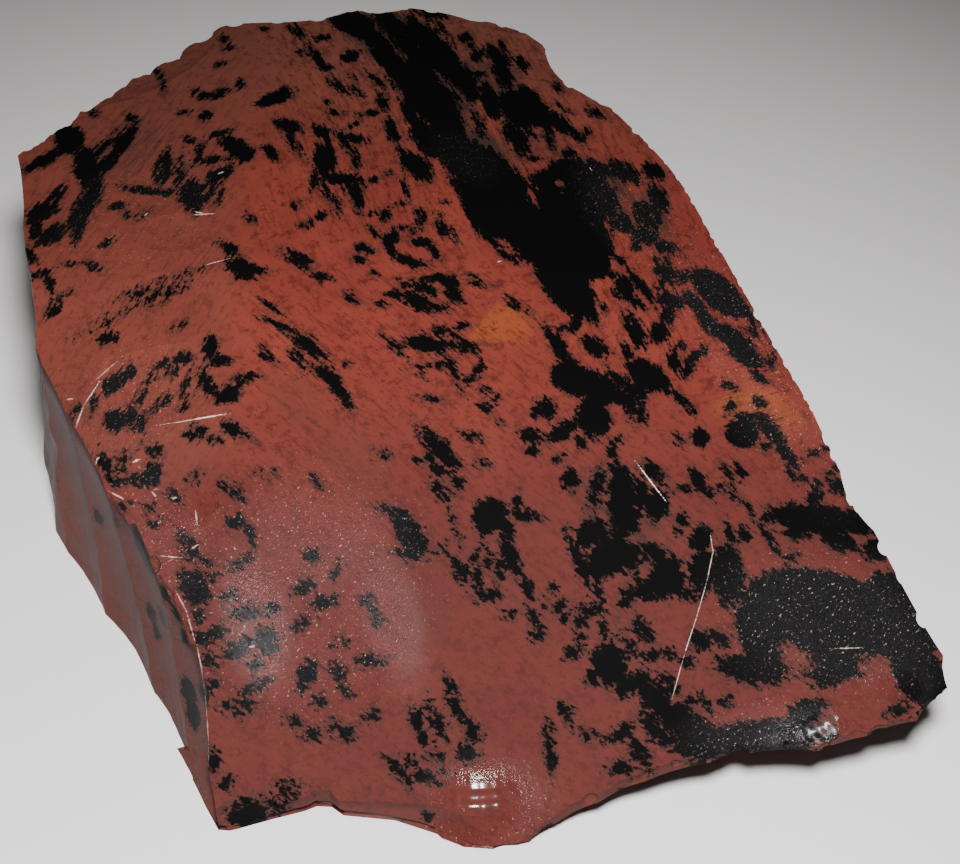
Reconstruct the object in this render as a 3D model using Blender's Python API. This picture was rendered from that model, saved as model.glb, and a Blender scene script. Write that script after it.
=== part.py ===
"""A chunk of mahogany obsidian, knapped out of a rough block.

The stone is one solid piece of volcanic glass. A block with the stone's outline is built up
from the face it rests on, a crown cutter rounds its top over, and each flake scar is then
struck off it with a dished cutter whose rings are the ripples of that scar.
Lengths in the tables are millimetres; Blender's are metres.
"""

import math
from dataclasses import dataclass

import bmesh
import bpy
from mathutils import Vector

MM = 0.001
NODE = "obsidian_chunk"

# The crown: a nearly level back that rolls over a shoulder into the front slope.
CROWN_TOP = 32.6
SHOULDER_AT = 21.0
SHOULDER_WIDTH = 23.6
FALL_DIRECTION = math.radians(30)
FRONT_SLOPE = 0.89
SLOPE_GAIN = 0.0162
CROSS_SLOPE = 0.00177
BACK_FALL = 0.00119
CROWN_CELL = 3.0
CROWN_REACH = 60.0

# The blow that bared the crown fell on the left rim, and its swells run out from there.
CROWN_BLOW = Vector((-35.0, -17.5))
SWELL_SPACING = 11.0
SWELL_HEIGHT = 0.12

# The block: its wall stands straight over the rim, and hollows a little below it.
BLOCK_TOP = 42.0
HOLLOW_AT = 0.42
WALL_HOLLOW = 0.8
BITE_STEPS = 3
BITE_FADE = 2
LID = 26.0

# The middle of the stone's box in the axes of the tables, which is its origin in the scene.
MIDDLE = Vector((-0.2, 2.8, 0.0))

SPOKES = 24
MARGIN = 0.6
BRIM = 6.0

GLASS_COLOUR = (0.145, 0.034, 0.022, 1.0)
GLASS_ROUGHNESS = 0.2
GLASS_IOR = 1.5


@dataclass(frozen=True)
class Corner:
    """A cusp of the rim: its place, how far the foot of the wall stands outside it, and
    how deep the bite is that the edge takes before the next cusp."""

    x: float
    y: float
    z: float
    foot: float
    bite: float


@dataclass(frozen=True)
class Scar:
    """A dished flake scar: the middle of the hollow on the unbroken surface, the way that
    surface faces there and the way the crack ran, both as azimuth and elevation, then the
    hollow's length along the run, its width and its depth. The blow that started the
    crack fell some way behind the middle, and the ripples are rings about it."""

    name: str
    middle: tuple
    facing: tuple
    heading: tuple
    length: float
    width: float
    depth: float
    blow: float
    spacing: float = 4.0
    ripple: float = 0.06


LEFT_RIM = (
    Corner(-48.0, 25.1, 25.8, 0.6, 0.3),
    Corner(-46.6, 15.6, 26.0, 1.3, 0.2),
    Corner(-45.2, 7.9, 25.6, 1.6, 0.2),
    Corner(-43.4, -2.0, 24.8, 1.5, 0.3),
    Corner(-42.3, -5.7, 24.2, 1.4, 0.4),
    Corner(-39.8, -9.6, 23.4, 1.7, 0.3),
    Corner(-38.4, -12.4, 22.6, 1.8, 0.4),
    Corner(-34.9, -18.4, 20.4, 1.4, 0.4),
    Corner(-32.3, -22.1, 18.6, 2.3, 0.3),
    Corner(-30.2, -24.6, 17.2, 3.0, 0.4),
    Corner(-26.4, -30.8, 13.2, 4.3, 0.3),
    Corner(-25.0, -35.8, 9.2, 2.9, 0.3),
    Corner(-24.4, -41.0, 4.8, 1.0, 0.2),
    Corner(-23.6, -44.7, 0.8, -0.2, 0.2),
)
FRONT_RIM = (
    Corner(-22.4, -44.9, 0.7, -0.3, 0.1),
    Corner(-18.2, -43.5, 0.9, -0.3, 0.1),
    Corner(-15.2, -42.6, 1.2, -0.3, -0.1),
    Corner(-13.9, -42.0, 1.4, -0.3, 0.0),
    Corner(-12.4, -42.1, 1.4, -0.3, 0.0),
    Corner(-11.2, -43.1, 1.3, -0.3, 0.1),
    Corner(-6.0, -43.7, 1.0, -0.3, 0.2),
    Corner(-1.8, -45.2, 0.8, -0.2, 0.2),
    Corner(-0.4, -46.6, 0.6, -0.2, -0.2),
    Corner(3.8, -47.2, 0.6, -0.4, 0.0),
    Corner(7.4, -46.3, 0.8, -1.2, 0.2),
    Corner(10.0, -44.9, 1.6, -3.0, 0.3),
    Corner(14.3, -43.8, 3.8, -6.0, 0.3),
    Corner(18.7, -42.6, 5.6, -9.0, 0.3),
    Corner(25.2, -41.6, 7.4, -13.0, 0.4),
    Corner(28.8, -41.2, 8.4, -16.0, 0.3),
    Corner(35.5, -41.4, 9.0, -19.0, 0.2),
    Corner(40.3, -40.4, 10.2, -21.0, 0.3),
    Corner(45.2, -39.2, 11.0, -22.0, 0.5),
)
RIGHT_RIM = (
    Corner(48.2, -36.8, 12.2, -22.0, 0.2),
    Corner(47.9, -33.9, 13.8, -20.0, 0.1),
    Corner(45.3, -29.6, 16.1, -16.0, 0.1),
    Corner(41.7, -22.3, 19.0, -13.0, 0.2),
    Corner(39.2, -18.7, 20.0, -11.0, 0.1),
    Corner(38.7, -15.8, 20.8, -10.5, 0.1),
    Corner(36.1, -8.7, 22.4, -10.0, 0.0),
    Corner(32.7, 0.3, 24.0, -9.0, 0.0),
    Corner(30.4, 6.6, 24.8, -8.5, 0.0),
    Corner(26.8, 15.0, 25.4, -8.0, -0.1),
    Corner(22.8, 24.2, 25.6, -7.5, 0.0),
    Corner(19.9, 29.0, 25.6, -7.0, 0.3),
    Corner(18.7, 32.5, 25.4, -7.0, 0.5),
)
BACK_RIM = (
    Corner(12.6, 37.4, 25.4, -6.5, 0.7),
    Corner(10.0, 45.3, 25.0, -6.0, -0.3),
    Corner(4.9, 48.9, 24.8, -6.0, -0.4),
    Corner(1.5, 49.8, 24.6, -6.0, -0.3),
    Corner(-5.7, 52.4, 24.2, -5.5, 0.3),
    Corner(-10.4, 51.4, 24.4, -5.0, -0.3),
    Corner(-12.7, 51.9, 24.5, -5.0, 0.1),
    Corner(-15.4, 50.3, 24.8, -5.0, 0.2),
    Corner(-20.5, 49.5, 24.7, -4.7, 0.0),
    Corner(-25.3, 49.5, 24.6, -4.5, -0.8),
    Corner(-28.9, 46.8, 24.8, -4.0, -1.0),
    Corner(-31.8, 43.2, 25.0, -3.7, -0.9),
    Corner(-34.9, 40.4, 25.2, -3.3, -0.8),
    Corner(-37.3, 38.6, 25.3, -3.0, -0.1),
    Corner(-40.8, 33.0, 25.6, -2.5, 0.0),
    Corner(-42.0, 32.7, 25.6, -2.0, 0.3),
    Corner(-43.4, 29.9, 25.7, -1.5, -0.3),
    Corner(-45.4, 27.4, 25.8, -1.0, -0.3),
)
RIM = LEFT_RIM + FRONT_RIM + RIGHT_RIM + BACK_RIM

# Scars on the top, from the left rim inwards and then round by the front to the right:
# the middle in plan, the run's azimuth, and the hollow's length, width, depth and blow.
TOP_SCARS = {
    "corner_flake": (-43.0, 18.0, 235, 22, 14, 0.5, 12),
    "upper_left": (-31.5, 19.0, 290, 18, 15, 0.5, 9),
    "upper_left_nick": (-29.7, 12.5, 280, 7, 9, 0.4, 4),
    "fan": (-33.0, 0.5, 215, 22, 13, 0.6, 11),
    "left_hollow": (-29.5, -7.5, 20, 17, 13, 0.6, 9),
    "left_strip": (-43.0, -5.5, 265, 22, 15, 1.4, 14),
    "shoulder": (-31.5, -16.5, 20, 17, 14, 0.7, 9),
    "battered_edge": (-29.8, -25.5, 298, 19, 7, 0.35, 8),
    "front_hollow": (-12.0, -44.0, 270, 10, 16, 0.6, 7),
    "front_lip": (-12.0, -45.2, 0, 27, 7, 1.9, 14),
    "nose": (2.8, -40.0, 270, 15, 15, 1.1, 9),
    "tip_front": (28.5, -38.6, 262, 11, 19, 0.8, 8),
    "tip": (42.0, -37.0, 300, 14, 20, 0.5, 9),
    "right_strip": (32.5, 4.0, 294, 52, 14, 1.2, 30),
    "back_notch": (14.5, 43.0, 60, 14, 16, 0.8, 9),
    "back_strip": (-36.0, 40.5, 230, 22, 10, 0.7, 14),
}

# Scars on the wall, from the flutes on the left to the two that undercut the tip: the
# azimuth and the share of the rim's height at the middle, the run's azimuth and
# elevation, and the hollow's length, width, depth and blow.
WALL_SCARS = {
    "left_back_flute": (162, 0.48, 270, -75, 22, 14, 0.4, 14),
    "left_mid_flute": (179, 0.48, 270, -70, 22, 11, 0.4, 14),
    "left_flute": (193, 0.48, 290, -65, 20, 9, 0.45, 13),
    "left_low_flute": (206, 0.48, 300, -60, 19, 9, 0.45, 12),
    "left_slab_flute": (219, 0.44, 300, -55, 15, 8, 0.35, 10),
    "left_front_flute": (231, 0.42, 290, -55, 9, 7, 0.3, 7),
    "back_left": (135, 0.44, 190, -72, 20, 29, 1.3, 12),
    "back": (105, 0.44, 20, -75, 20, 32, 1.6, 12),
    "back_right": (71, 0.44, 340, -70, 19, 22, 1.3, 12),
    "right_back": (37, 0.44, 110, -70, 20, 28, 1.3, 12),
    "right": (350, 0.45, 260, -60, 19, 26, 1.4, 12),
    "under_tip": (322, 0.5, 230, -30, 26, 16, 1.2, 15),
    "under_front": (300, 0.5, 200, -10, 24, 8, 0.7, 13),
}
WALL_RIPPLE_SPACING = 5.0


def crown_height(x, y):
    """The height of the crown over a point of the plan, in mm."""
    along = -(y * math.cos(FALL_DIRECTION) + x * math.sin(FALL_DIRECTION))
    across = x * math.cos(FALL_DIRECTION) - y * math.sin(FALL_DIRECTION)
    past = along - SHOULDER_AT
    roll = (math.hypot(past, SHOULDER_WIDTH) + past) / 2
    fall = (FRONT_SLOPE + SLOPE_GAIN * across) * roll
    fall += CROSS_SLOPE * across**2 + BACK_FALL * min(past, 0) ** 2
    run = (Vector((x, y)) - CROWN_BLOW).length
    return CROWN_TOP - fall + SWELL_HEIGHT * math.sin(math.tau * run / SWELL_SPACING)


def rim_points(bitten):
    """The cusps of the rim with a share of the bites: (plan point, z, foot) each."""
    points = []
    for corner, following in zip(RIM, RIM[1:] + RIM[:1]):
        start, end = Vector((corner.x, corner.y)), Vector((following.x, following.y))
        inward = Vector((start.y - end.y, end.x - start.x)).normalized()
        for step in range(BITE_STEPS):
            share = step / BITE_STEPS
            sag = 4 * corner.bite * bitten * share * (1 - share)
            plan = start.lerp(end, share) + inward * sag
            z = corner.z + (following.z - corner.z) * share
            foot = corner.foot + (following.foot - corner.foot) * share
            points.append((plan, z, foot))
    return points


def wall_offset(foot, share):
    """How far the wall stands outside the rim at a share of the rim's height."""
    if share < HOLLOW_AT:
        hollow = WALL_HOLLOW * share / HOLLOW_AT
    else:
        hollow = WALL_HOLLOW * (1 - share) / (1 - HOLLOW_AT)
    return foot * (1 - share) - hollow


def wall_ring(share):
    """The loop of the wall at a share of the rim's height: the bites die out downwards."""
    ring = []
    for plan, z, foot in rim_points(share**BITE_FADE):
        place = plan + plan.normalized() * wall_offset(foot, share)
        ring.append((*place, z * share))
    return ring


def wall_point(azimuth, share):
    """The point of the wall at an azimuth and a share of the rim's height."""
    ring = [Vector(point) for point in wall_ring(share)]
    sight = facing_vector(azimuth, 0)
    for start, end in zip(ring, ring[1:] + ring[:1]):
        before = sight.cross(start).z
        after = sight.cross(end).z
        if before <= 0 < after and sight.dot(start) > 0:
            return start.lerp(end, before / (before - after))
    raise ValueError("The rim does not go round")


def add_ring(bm, points):
    """A closed loop of vertices through points given in mm."""
    return [bm.verts.new(Vector(point) * MM) for point in points]


def bridge(bm, lower, upper):
    """Faces between two loops of equal length."""
    for index, vertex in enumerate(lower):
        after = (index + 1) % len(lower)
        bm.faces.new((vertex, lower[after], upper[after], upper[index]))


def finish_mesh(bm, name):
    """Turn a bmesh into an object of flat triangles, with its faces outward."""
    bmesh.ops.triangulate(bm, faces=bm.faces)
    bmesh.ops.recalc_face_normals(bm, faces=bm.faces)
    mesh = bpy.data.meshes.new(name)
    bm.to_mesh(mesh)
    bm.free()
    piece = bpy.data.objects.new(name, mesh)
    piece.location = -MIDDLE * MM
    bpy.context.scene.collection.objects.link(piece)
    return piece


def build_block():
    """The rough block: a wall of four rings between a flat base and a flat top."""
    bm = bmesh.new()
    rings = [add_ring(bm, wall_ring(share)) for share in (0, HOLLOW_AT, 1)]
    rings.append(add_ring(bm, [(x, y, BLOCK_TOP) for x, y, z in wall_ring(1)]))
    for lower, upper in zip(rings, rings[1:]):
        bridge(bm, lower, upper)
    bm.faces.new(rings[0])
    bm.faces.new(rings[-1])
    return finish_mesh(bm, NODE)


def build_crown_cutter():
    """Everything above the crown: a grid on it, closed by a lid over the block."""
    cells = math.ceil(2 * CROWN_REACH / CROWN_CELL)
    bm = bmesh.new()
    grid = bmesh.ops.create_grid(bm, x_segments=cells, y_segments=cells, size=CROWN_REACH)
    for vertex in grid["verts"]:
        vertex.co.z = crown_height(vertex.co.x, vertex.co.y)
    lid = bmesh.ops.extrude_face_region(bm, geom=bm.faces[:])["geom"]
    for vertex in lid:
        if isinstance(vertex, bmesh.types.BMVert):
            vertex.co.z = BLOCK_TOP + LID
    bmesh.ops.scale(bm, vec=(MM, MM, MM), verts=bm.verts)
    return finish_mesh(bm, "crown_cutter")


def facing_vector(azimuth, elevation):
    """The unit vector that points along an azimuth and an elevation in degrees."""
    turn, lift = math.radians(azimuth), math.radians(elevation)
    level = math.cos(lift)
    return Vector((level * math.cos(turn), level * math.sin(turn), math.sin(lift)))


def turned(vector):
    """The azimuth and elevation of a vector in degrees."""
    level = math.hypot(vector.x, vector.y)
    return math.degrees(math.atan2(vector.y, vector.x)), math.degrees(math.atan2(vector.z, level))


def top_scar(name, x, y, run, *dimensions):
    """A scar struck off the crown over a point of the plan."""
    rise_x = crown_height(x + 0.5, y) - crown_height(x - 0.5, y)
    rise_y = crown_height(x, y + 0.5) - crown_height(x, y - 0.5)
    facing = turned(Vector((-rise_x, -rise_y, 1)))
    return Scar(name, (x, y, crown_height(x, y)), facing, (run, 0), *dimensions)


def wall_scar(name, azimuth, share, run, fall, *dimensions):
    """A scar struck off the wall at an azimuth and a share of the rim's height."""
    around = wall_point(azimuth + 3, share) - wall_point(azimuth - 3, share)
    upward = wall_point(azimuth, share + 0.3) - wall_point(azimuth, share - 0.3)
    facing = turned(around.cross(upward))
    middle = tuple(wall_point(azimuth, share))
    return Scar(name, middle, facing, (run, fall), *dimensions, spacing=WALL_RIPPLE_SPACING)


def scar_axes(scar):
    """The directions out of a scar, along its run and across it."""
    out = facing_vector(*scar.facing)
    heading = facing_vector(*scar.heading)
    along = (heading - out * heading.dot(out)).normalized()
    return out, along, out.cross(along)


def scar_height(scar, along, across):
    """How far the bowl of a scar stands above the middle of the unbroken surface."""
    bowl = (2 * along / scar.length) ** 2 + (2 * across / scar.width) ** 2 - 1
    run = math.hypot(along + scar.blow, across)
    ripple = scar.ripple * math.sin(math.tau * run / scar.spacing)
    return min(scar.depth * bowl, BRIM) + ripple


def scar_point(scar, axes, along, across, height):
    """A point at a height over the middle of a scar."""
    out, run, side = axes
    return Vector(scar.middle) + run * along + side * across + out * height


def ring_places(scar, ring):
    """The places of one ripple ring about the struck point, along and across the run."""
    radius = ring * scar.spacing / 2
    turns = [math.tau * spoke / SPOKES for spoke in range(SPOKES)]
    return [(radius * math.cos(turn) - scar.blow, radius * math.sin(turn)) for turn in turns]


def build_scar_cutter(scar):
    """A dish of ripple rings about the struck point, closed by a lid clear of the stone."""
    axes = scar_axes(scar)
    reach = max(scar.blow + scar.length * MARGIN, math.hypot(scar.blow, scar.width * MARGIN))
    bm = bmesh.new()
    loops = []
    for ring in range(1, math.ceil(reach / (scar.spacing / 2)) + 1):
        places = ring_places(scar, ring)
        dish = [scar_point(scar, axes, *place, scar_height(scar, *place)) for place in places]
        loops.append(add_ring(bm, dish))
    for inner, outer in zip(loops, loops[1:]):
        bridge(bm, inner, outer)
    bm.faces.new(loops[0])
    lid = add_ring(bm, [scar_point(scar, axes, *place, LID) for place in places])
    bridge(bm, loops[-1], lid)
    bm.faces.new(lid)
    return finish_mesh(bm, scar.name + "_cutter")


def strike_off(piece, cutters):
    """Cut a piece back with cutters, which stay in the scene as hidden guides."""
    flakes = bpy.data.collections.new("flakes")
    bpy.context.scene.collection.children.link(flakes)
    for cutter in cutters:
        bpy.context.scene.collection.objects.unlink(cutter)
        flakes.objects.link(cutter)
        cutter.hide_render = True
        cutter.display_type = "WIRE"
    blows = piece.modifiers.new("blows", "BOOLEAN")
    blows.operation = "DIFFERENCE"
    blows.solver = "EXACT"
    blows.operand_type = "COLLECTION"
    blows.collection = flakes


def make_obsidian():
    """Mahogany obsidian: red-brown glass with a wet gloss."""
    material = bpy.data.materials.new("mahogany_obsidian")
    material.use_nodes = True
    shader = material.node_tree.nodes["Principled BSDF"]
    shader.inputs["Base Color"].default_value = GLASS_COLOUR
    shader.inputs["Roughness"].default_value = GLASS_ROUGHNESS
    shader.inputs["IOR"].default_value = GLASS_IOR
    shader.inputs["Metallic"].default_value = 0.0
    return material


def all_scars():
    """The scars in the order in which they are struck."""
    top = [top_scar(name, *numbers) for name, numbers in TOP_SCARS.items()]
    return top + [wall_scar(name, *numbers) for name, numbers in WALL_SCARS.items()]


def clear_scene():
    """Remove the scene's objects, so the stone stands alone."""
    for thing in list(bpy.data.objects):
        bpy.data.objects.remove(thing, do_unlink=True)


def main():
    """Build the stone."""
    clear_scene()
    stone = build_block()
    stone.data.materials.append(make_obsidian())
    cutters = [build_scar_cutter(scar) for scar in all_scars()]
    strike_off(stone, [build_crown_cutter()] + cutters)


main()
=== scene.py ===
"""The looks of a chunk of mahogany obsidian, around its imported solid.

The stone is knapped a second time, finely: a block with its outline is rounded over by the
crown, and every flake scar, ripple and edge chip is struck off it. Its glass is then dressed
in red-brown and black by a procedural finish. Lengths in the tables are millimetres.
"""

import logging
import math
from dataclasses import dataclass
from enum import Enum
from typing import Protocol

import bmesh
import bpy
import numpy as np
from mathutils import Matrix, Vector

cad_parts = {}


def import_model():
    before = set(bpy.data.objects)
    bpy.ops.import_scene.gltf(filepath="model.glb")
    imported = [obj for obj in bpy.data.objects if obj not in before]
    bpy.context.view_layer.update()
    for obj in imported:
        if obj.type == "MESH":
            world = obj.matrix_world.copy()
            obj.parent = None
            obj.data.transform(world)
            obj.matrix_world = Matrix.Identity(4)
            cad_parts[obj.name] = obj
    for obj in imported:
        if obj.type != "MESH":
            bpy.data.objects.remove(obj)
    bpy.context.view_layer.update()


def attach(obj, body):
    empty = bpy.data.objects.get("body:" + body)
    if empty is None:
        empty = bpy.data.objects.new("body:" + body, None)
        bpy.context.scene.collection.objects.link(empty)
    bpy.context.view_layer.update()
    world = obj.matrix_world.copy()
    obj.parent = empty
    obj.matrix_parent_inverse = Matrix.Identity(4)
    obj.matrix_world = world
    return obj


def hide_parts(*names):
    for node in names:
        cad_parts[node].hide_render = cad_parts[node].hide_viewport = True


LOG = logging.getLogger("obsidian_chunk")
MM = 0.001
TINY = 1e-9
# The middle of the stone's box in the plan of the tables.
MIDDLE = (-0.2, 2.8)

# Places in mm, one row each, and the rows of a table.
Points = np.ndarray
Rows = tuple[tuple[float, ...], ...]


def facing_vector(azimuth: float, elevation: float) -> np.ndarray:
    """The unit vector along an azimuth and an elevation.

    Args:
        azimuth: degrees from +X towards +Y.
        elevation: degrees up from the level.

    Returns:
        The vector, as an array of three numbers.
    """
    turn, lift = math.radians(azimuth), math.radians(elevation)
    level = math.cos(lift)
    return np.array([level * math.cos(turn), level * math.sin(turn), math.sin(lift)])


def unit(vectors: Points) -> Points:
    """The same vectors, each of length one."""
    return vectors / np.maximum(np.linalg.norm(vectors, axis=-1, keepdims=True), TINY)


def turned(vector: np.ndarray) -> tuple[float, float]:
    """The azimuth and elevation of a vector, in degrees."""
    level = math.hypot(vector[0], vector[1])
    lift = math.degrees(math.atan2(vector[2], level))
    return math.degrees(math.atan2(vector[1], vector[0])), lift


class Surface(Protocol):
    """A face of the stone, as a field that is zero on it and positive outside it."""

    def stands_out(self, points: Points) -> np.ndarray:
        """How far points stand outside the surface, in mm."""


def slope_of(surface: Surface, points: Points, step: float = 0.02) -> Points:
    """The outward normals of a surface at points near it.

    Args:
        surface: the surface.
        points: places in mm, one row each.
        step: half the distance over which the slope is taken.

    Returns:
        One unit normal for each point.
    """
    rises = []
    for axis in np.eye(3) * step:
        rises.append(surface.stands_out(points + axis) - surface.stands_out(points - axis))
    return unit(np.stack(rises, axis=-1))


# How much shorter or longer than usual the waves of an unevenness may be.
WAVE_SPREAD = (0.7, 1.6)


def swells(points: Points, size: float, seed: int, waves: int = 7) -> np.ndarray:
    """A smooth unevenness between about -1 and 1, the same on every run.

    Args:
        points: places in mm, one row each.
        size: the usual length of a swell in mm.
        seed: which unevenness.
        waves: how many plane waves are added up.

    Returns:
        One height for each point.
    """
    chance = np.random.default_rng(seed)
    total = np.zeros(len(points))
    for _ in range(waves):
        direction = unit(chance.normal(size=3)) * chance.uniform(*WAVE_SPREAD) / size
        total += np.sin(math.tau * (points @ direction + chance.random()))
    return total / math.sqrt(waves)


@dataclass(frozen=True)
class Crown:
    """The rounded top, bared by one great blow: nearly level at the back, then rolling over
    a shoulder into the front slope. It wavers a little, broadly and finely."""

    top: float = 32.6
    shoulder_at: float = 21.0
    shoulder_width: float = 23.6
    fall_direction: float = math.radians(30)
    front_slope: float = 0.89
    slope_gain: float = 0.0162
    cross_slope: float = 0.00177
    back_fall: float = 0.00119
    blow: tuple[float, float] = (-35.0, -17.5)
    swell_spacing: float = 11.0
    swell_height: float = 0.02
    waver: float = 0.045
    broad_waver: float = 13.0
    fine_waver: float = 5.0
    fine_share: float = 0.4
    cell: float = 0.42
    reach: float = 54.0
    headroom: float = 6.0

    def height(self, x: np.ndarray, y: np.ndarray) -> np.ndarray:
        """The height of the crown over points of the plan.

        Args:
            x: how far right each point is, in mm.
            y: how far back each point is, in mm.

        Returns:
            One height in mm for each point.
        """
        cosine, sine = math.cos(self.fall_direction), math.sin(self.fall_direction)
        along = -(y * cosine + x * sine)
        across = x * cosine - y * sine
        past = along - self.shoulder_at
        roll = (np.hypot(past, self.shoulder_width) + past) / 2
        fall = (self.front_slope + self.slope_gain * across) * roll
        fall += self.cross_slope * across**2 + self.back_fall * np.minimum(past, 0) ** 2
        run = np.hypot(x - self.blow[0], y - self.blow[1])
        swell = self.swell_height * np.sin(math.tau * run / self.swell_spacing)
        plan = np.stack([x.ravel(), y.ravel(), np.zeros(x.size)], axis=1)
        broad, fine = swells(plan, self.broad_waver, 3), swells(plan, self.fine_waver, 4)
        waver = self.waver * (broad + self.fine_share * fine)
        return self.top - fall + swell + waver.reshape(x.shape)

    def stands_out(self, points: Points) -> np.ndarray:
        """How far points stand over the crown."""
        return points[:, 2] - self.height(points[:, 0], points[:, 1])


@dataclass(frozen=True)
class Corner:
    """A cusp of the rim: its place, how far the foot of the wall stands outside it, and
    how deep the bite is that the edge takes before the next cusp."""

    x: float
    y: float
    z: float
    foot: float
    bite: float


LEFT_RIM = (
    Corner(-48.0, 25.1, 25.8, 0.6, 0.3),
    Corner(-46.6, 15.6, 26.0, 1.3, 0.2),
    Corner(-45.2, 7.9, 25.6, 1.6, 0.2),
    Corner(-43.4, -2.0, 24.8, 1.5, 0.3),
    Corner(-42.3, -5.7, 24.2, 1.4, 0.4),
    Corner(-39.8, -9.6, 23.4, 1.7, 0.3),
    Corner(-38.4, -12.4, 22.6, 1.8, 0.4),
    Corner(-34.9, -18.4, 20.4, 1.4, 0.4),
    Corner(-32.3, -22.1, 18.6, 2.3, 0.3),
    Corner(-30.2, -24.6, 17.2, 3.0, 0.4),
    Corner(-26.4, -30.8, 13.2, 4.3, 0.3),
    Corner(-25.0, -35.8, 9.2, 2.9, 0.3),
    Corner(-24.4, -41.0, 4.8, 1.0, 0.2),
    Corner(-23.6, -44.7, 0.8, -0.2, 0.2),
)
FRONT_RIM = (
    Corner(-22.4, -44.9, 0.7, -0.3, 0.1),
    Corner(-18.2, -43.5, 0.9, -0.3, 0.1),
    Corner(-15.2, -42.6, 1.2, -0.3, -0.1),
    Corner(-13.9, -42.0, 1.4, -0.3, 0.0),
    Corner(-12.4, -42.1, 1.4, -0.3, 0.0),
    Corner(-11.2, -43.1, 1.3, -0.3, 0.1),
    Corner(-6.0, -43.7, 1.0, -0.3, 0.2),
    Corner(-1.8, -45.2, 0.8, -0.2, 0.2),
    Corner(-0.4, -46.6, 0.6, -0.2, -0.2),
    Corner(3.8, -47.2, 0.6, -0.4, 0.0),
    Corner(7.4, -46.3, 0.8, -1.2, 0.2),
    Corner(10.0, -44.9, 1.6, -3.0, 0.3),
    Corner(14.3, -43.8, 3.8, -6.0, 0.3),
    Corner(18.7, -42.6, 5.6, -9.0, 0.3),
    Corner(25.2, -41.6, 7.4, -13.0, 0.4),
    Corner(28.8, -41.2, 8.4, -16.0, 0.3),
    Corner(35.5, -41.4, 9.0, -19.0, 0.2),
    Corner(40.3, -40.4, 10.2, -21.0, 0.3),
    Corner(45.2, -39.2, 11.0, -22.0, 0.5),
)
RIGHT_RIM = (
    Corner(48.2, -36.8, 12.2, -22.0, 0.2),
    Corner(47.9, -33.9, 13.8, -20.0, 0.1),
    Corner(45.3, -29.6, 16.1, -16.0, 0.1),
    Corner(41.7, -22.3, 19.0, -13.0, 0.2),
    Corner(39.2, -18.7, 20.0, -11.0, 0.1),
    Corner(38.7, -15.8, 20.8, -10.5, 0.1),
    Corner(36.1, -8.7, 22.4, -10.0, 0.0),
    Corner(32.7, 0.3, 24.0, -9.0, 0.0),
    Corner(30.4, 6.6, 24.8, -8.5, 0.0),
    Corner(26.8, 15.0, 25.4, -8.0, -0.1),
    Corner(22.8, 24.2, 25.6, -7.5, 0.0),
    Corner(19.9, 29.0, 25.6, -7.0, 0.3),
    Corner(18.7, 32.5, 25.4, -7.0, 0.5),
)
BACK_RIM = (
    Corner(12.6, 37.4, 25.4, -6.5, 0.7),
    Corner(10.0, 45.3, 25.0, -6.0, -0.3),
    Corner(4.9, 48.9, 24.8, -6.0, -0.4),
    Corner(1.5, 49.8, 24.6, -6.0, -0.3),
    Corner(-5.7, 52.4, 24.2, -5.5, 0.3),
    Corner(-10.4, 51.4, 24.4, -5.0, -0.3),
    Corner(-12.7, 51.9, 24.5, -5.0, 0.1),
    Corner(-15.4, 50.3, 24.8, -5.0, 0.2),
    Corner(-20.5, 49.5, 24.7, -4.7, 0.0),
    Corner(-25.3, 49.5, 24.6, -4.5, -0.8),
    Corner(-28.9, 46.8, 24.8, -4.0, -1.0),
    Corner(-31.8, 43.2, 25.0, -3.7, -0.9),
    Corner(-34.9, 40.4, 25.2, -3.3, -0.8),
    Corner(-37.3, 38.6, 25.3, -3.0, -0.1),
    Corner(-40.8, 33.0, 25.6, -2.5, 0.0),
    Corner(-42.0, 32.7, 25.6, -2.0, 0.3),
    Corner(-43.4, 29.9, 25.7, -1.5, -0.3),
    Corner(-45.4, 27.4, 25.8, -1.0, -0.3),
)
RIM = LEFT_RIM + FRONT_RIM + RIGHT_RIM + BACK_RIM


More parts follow.
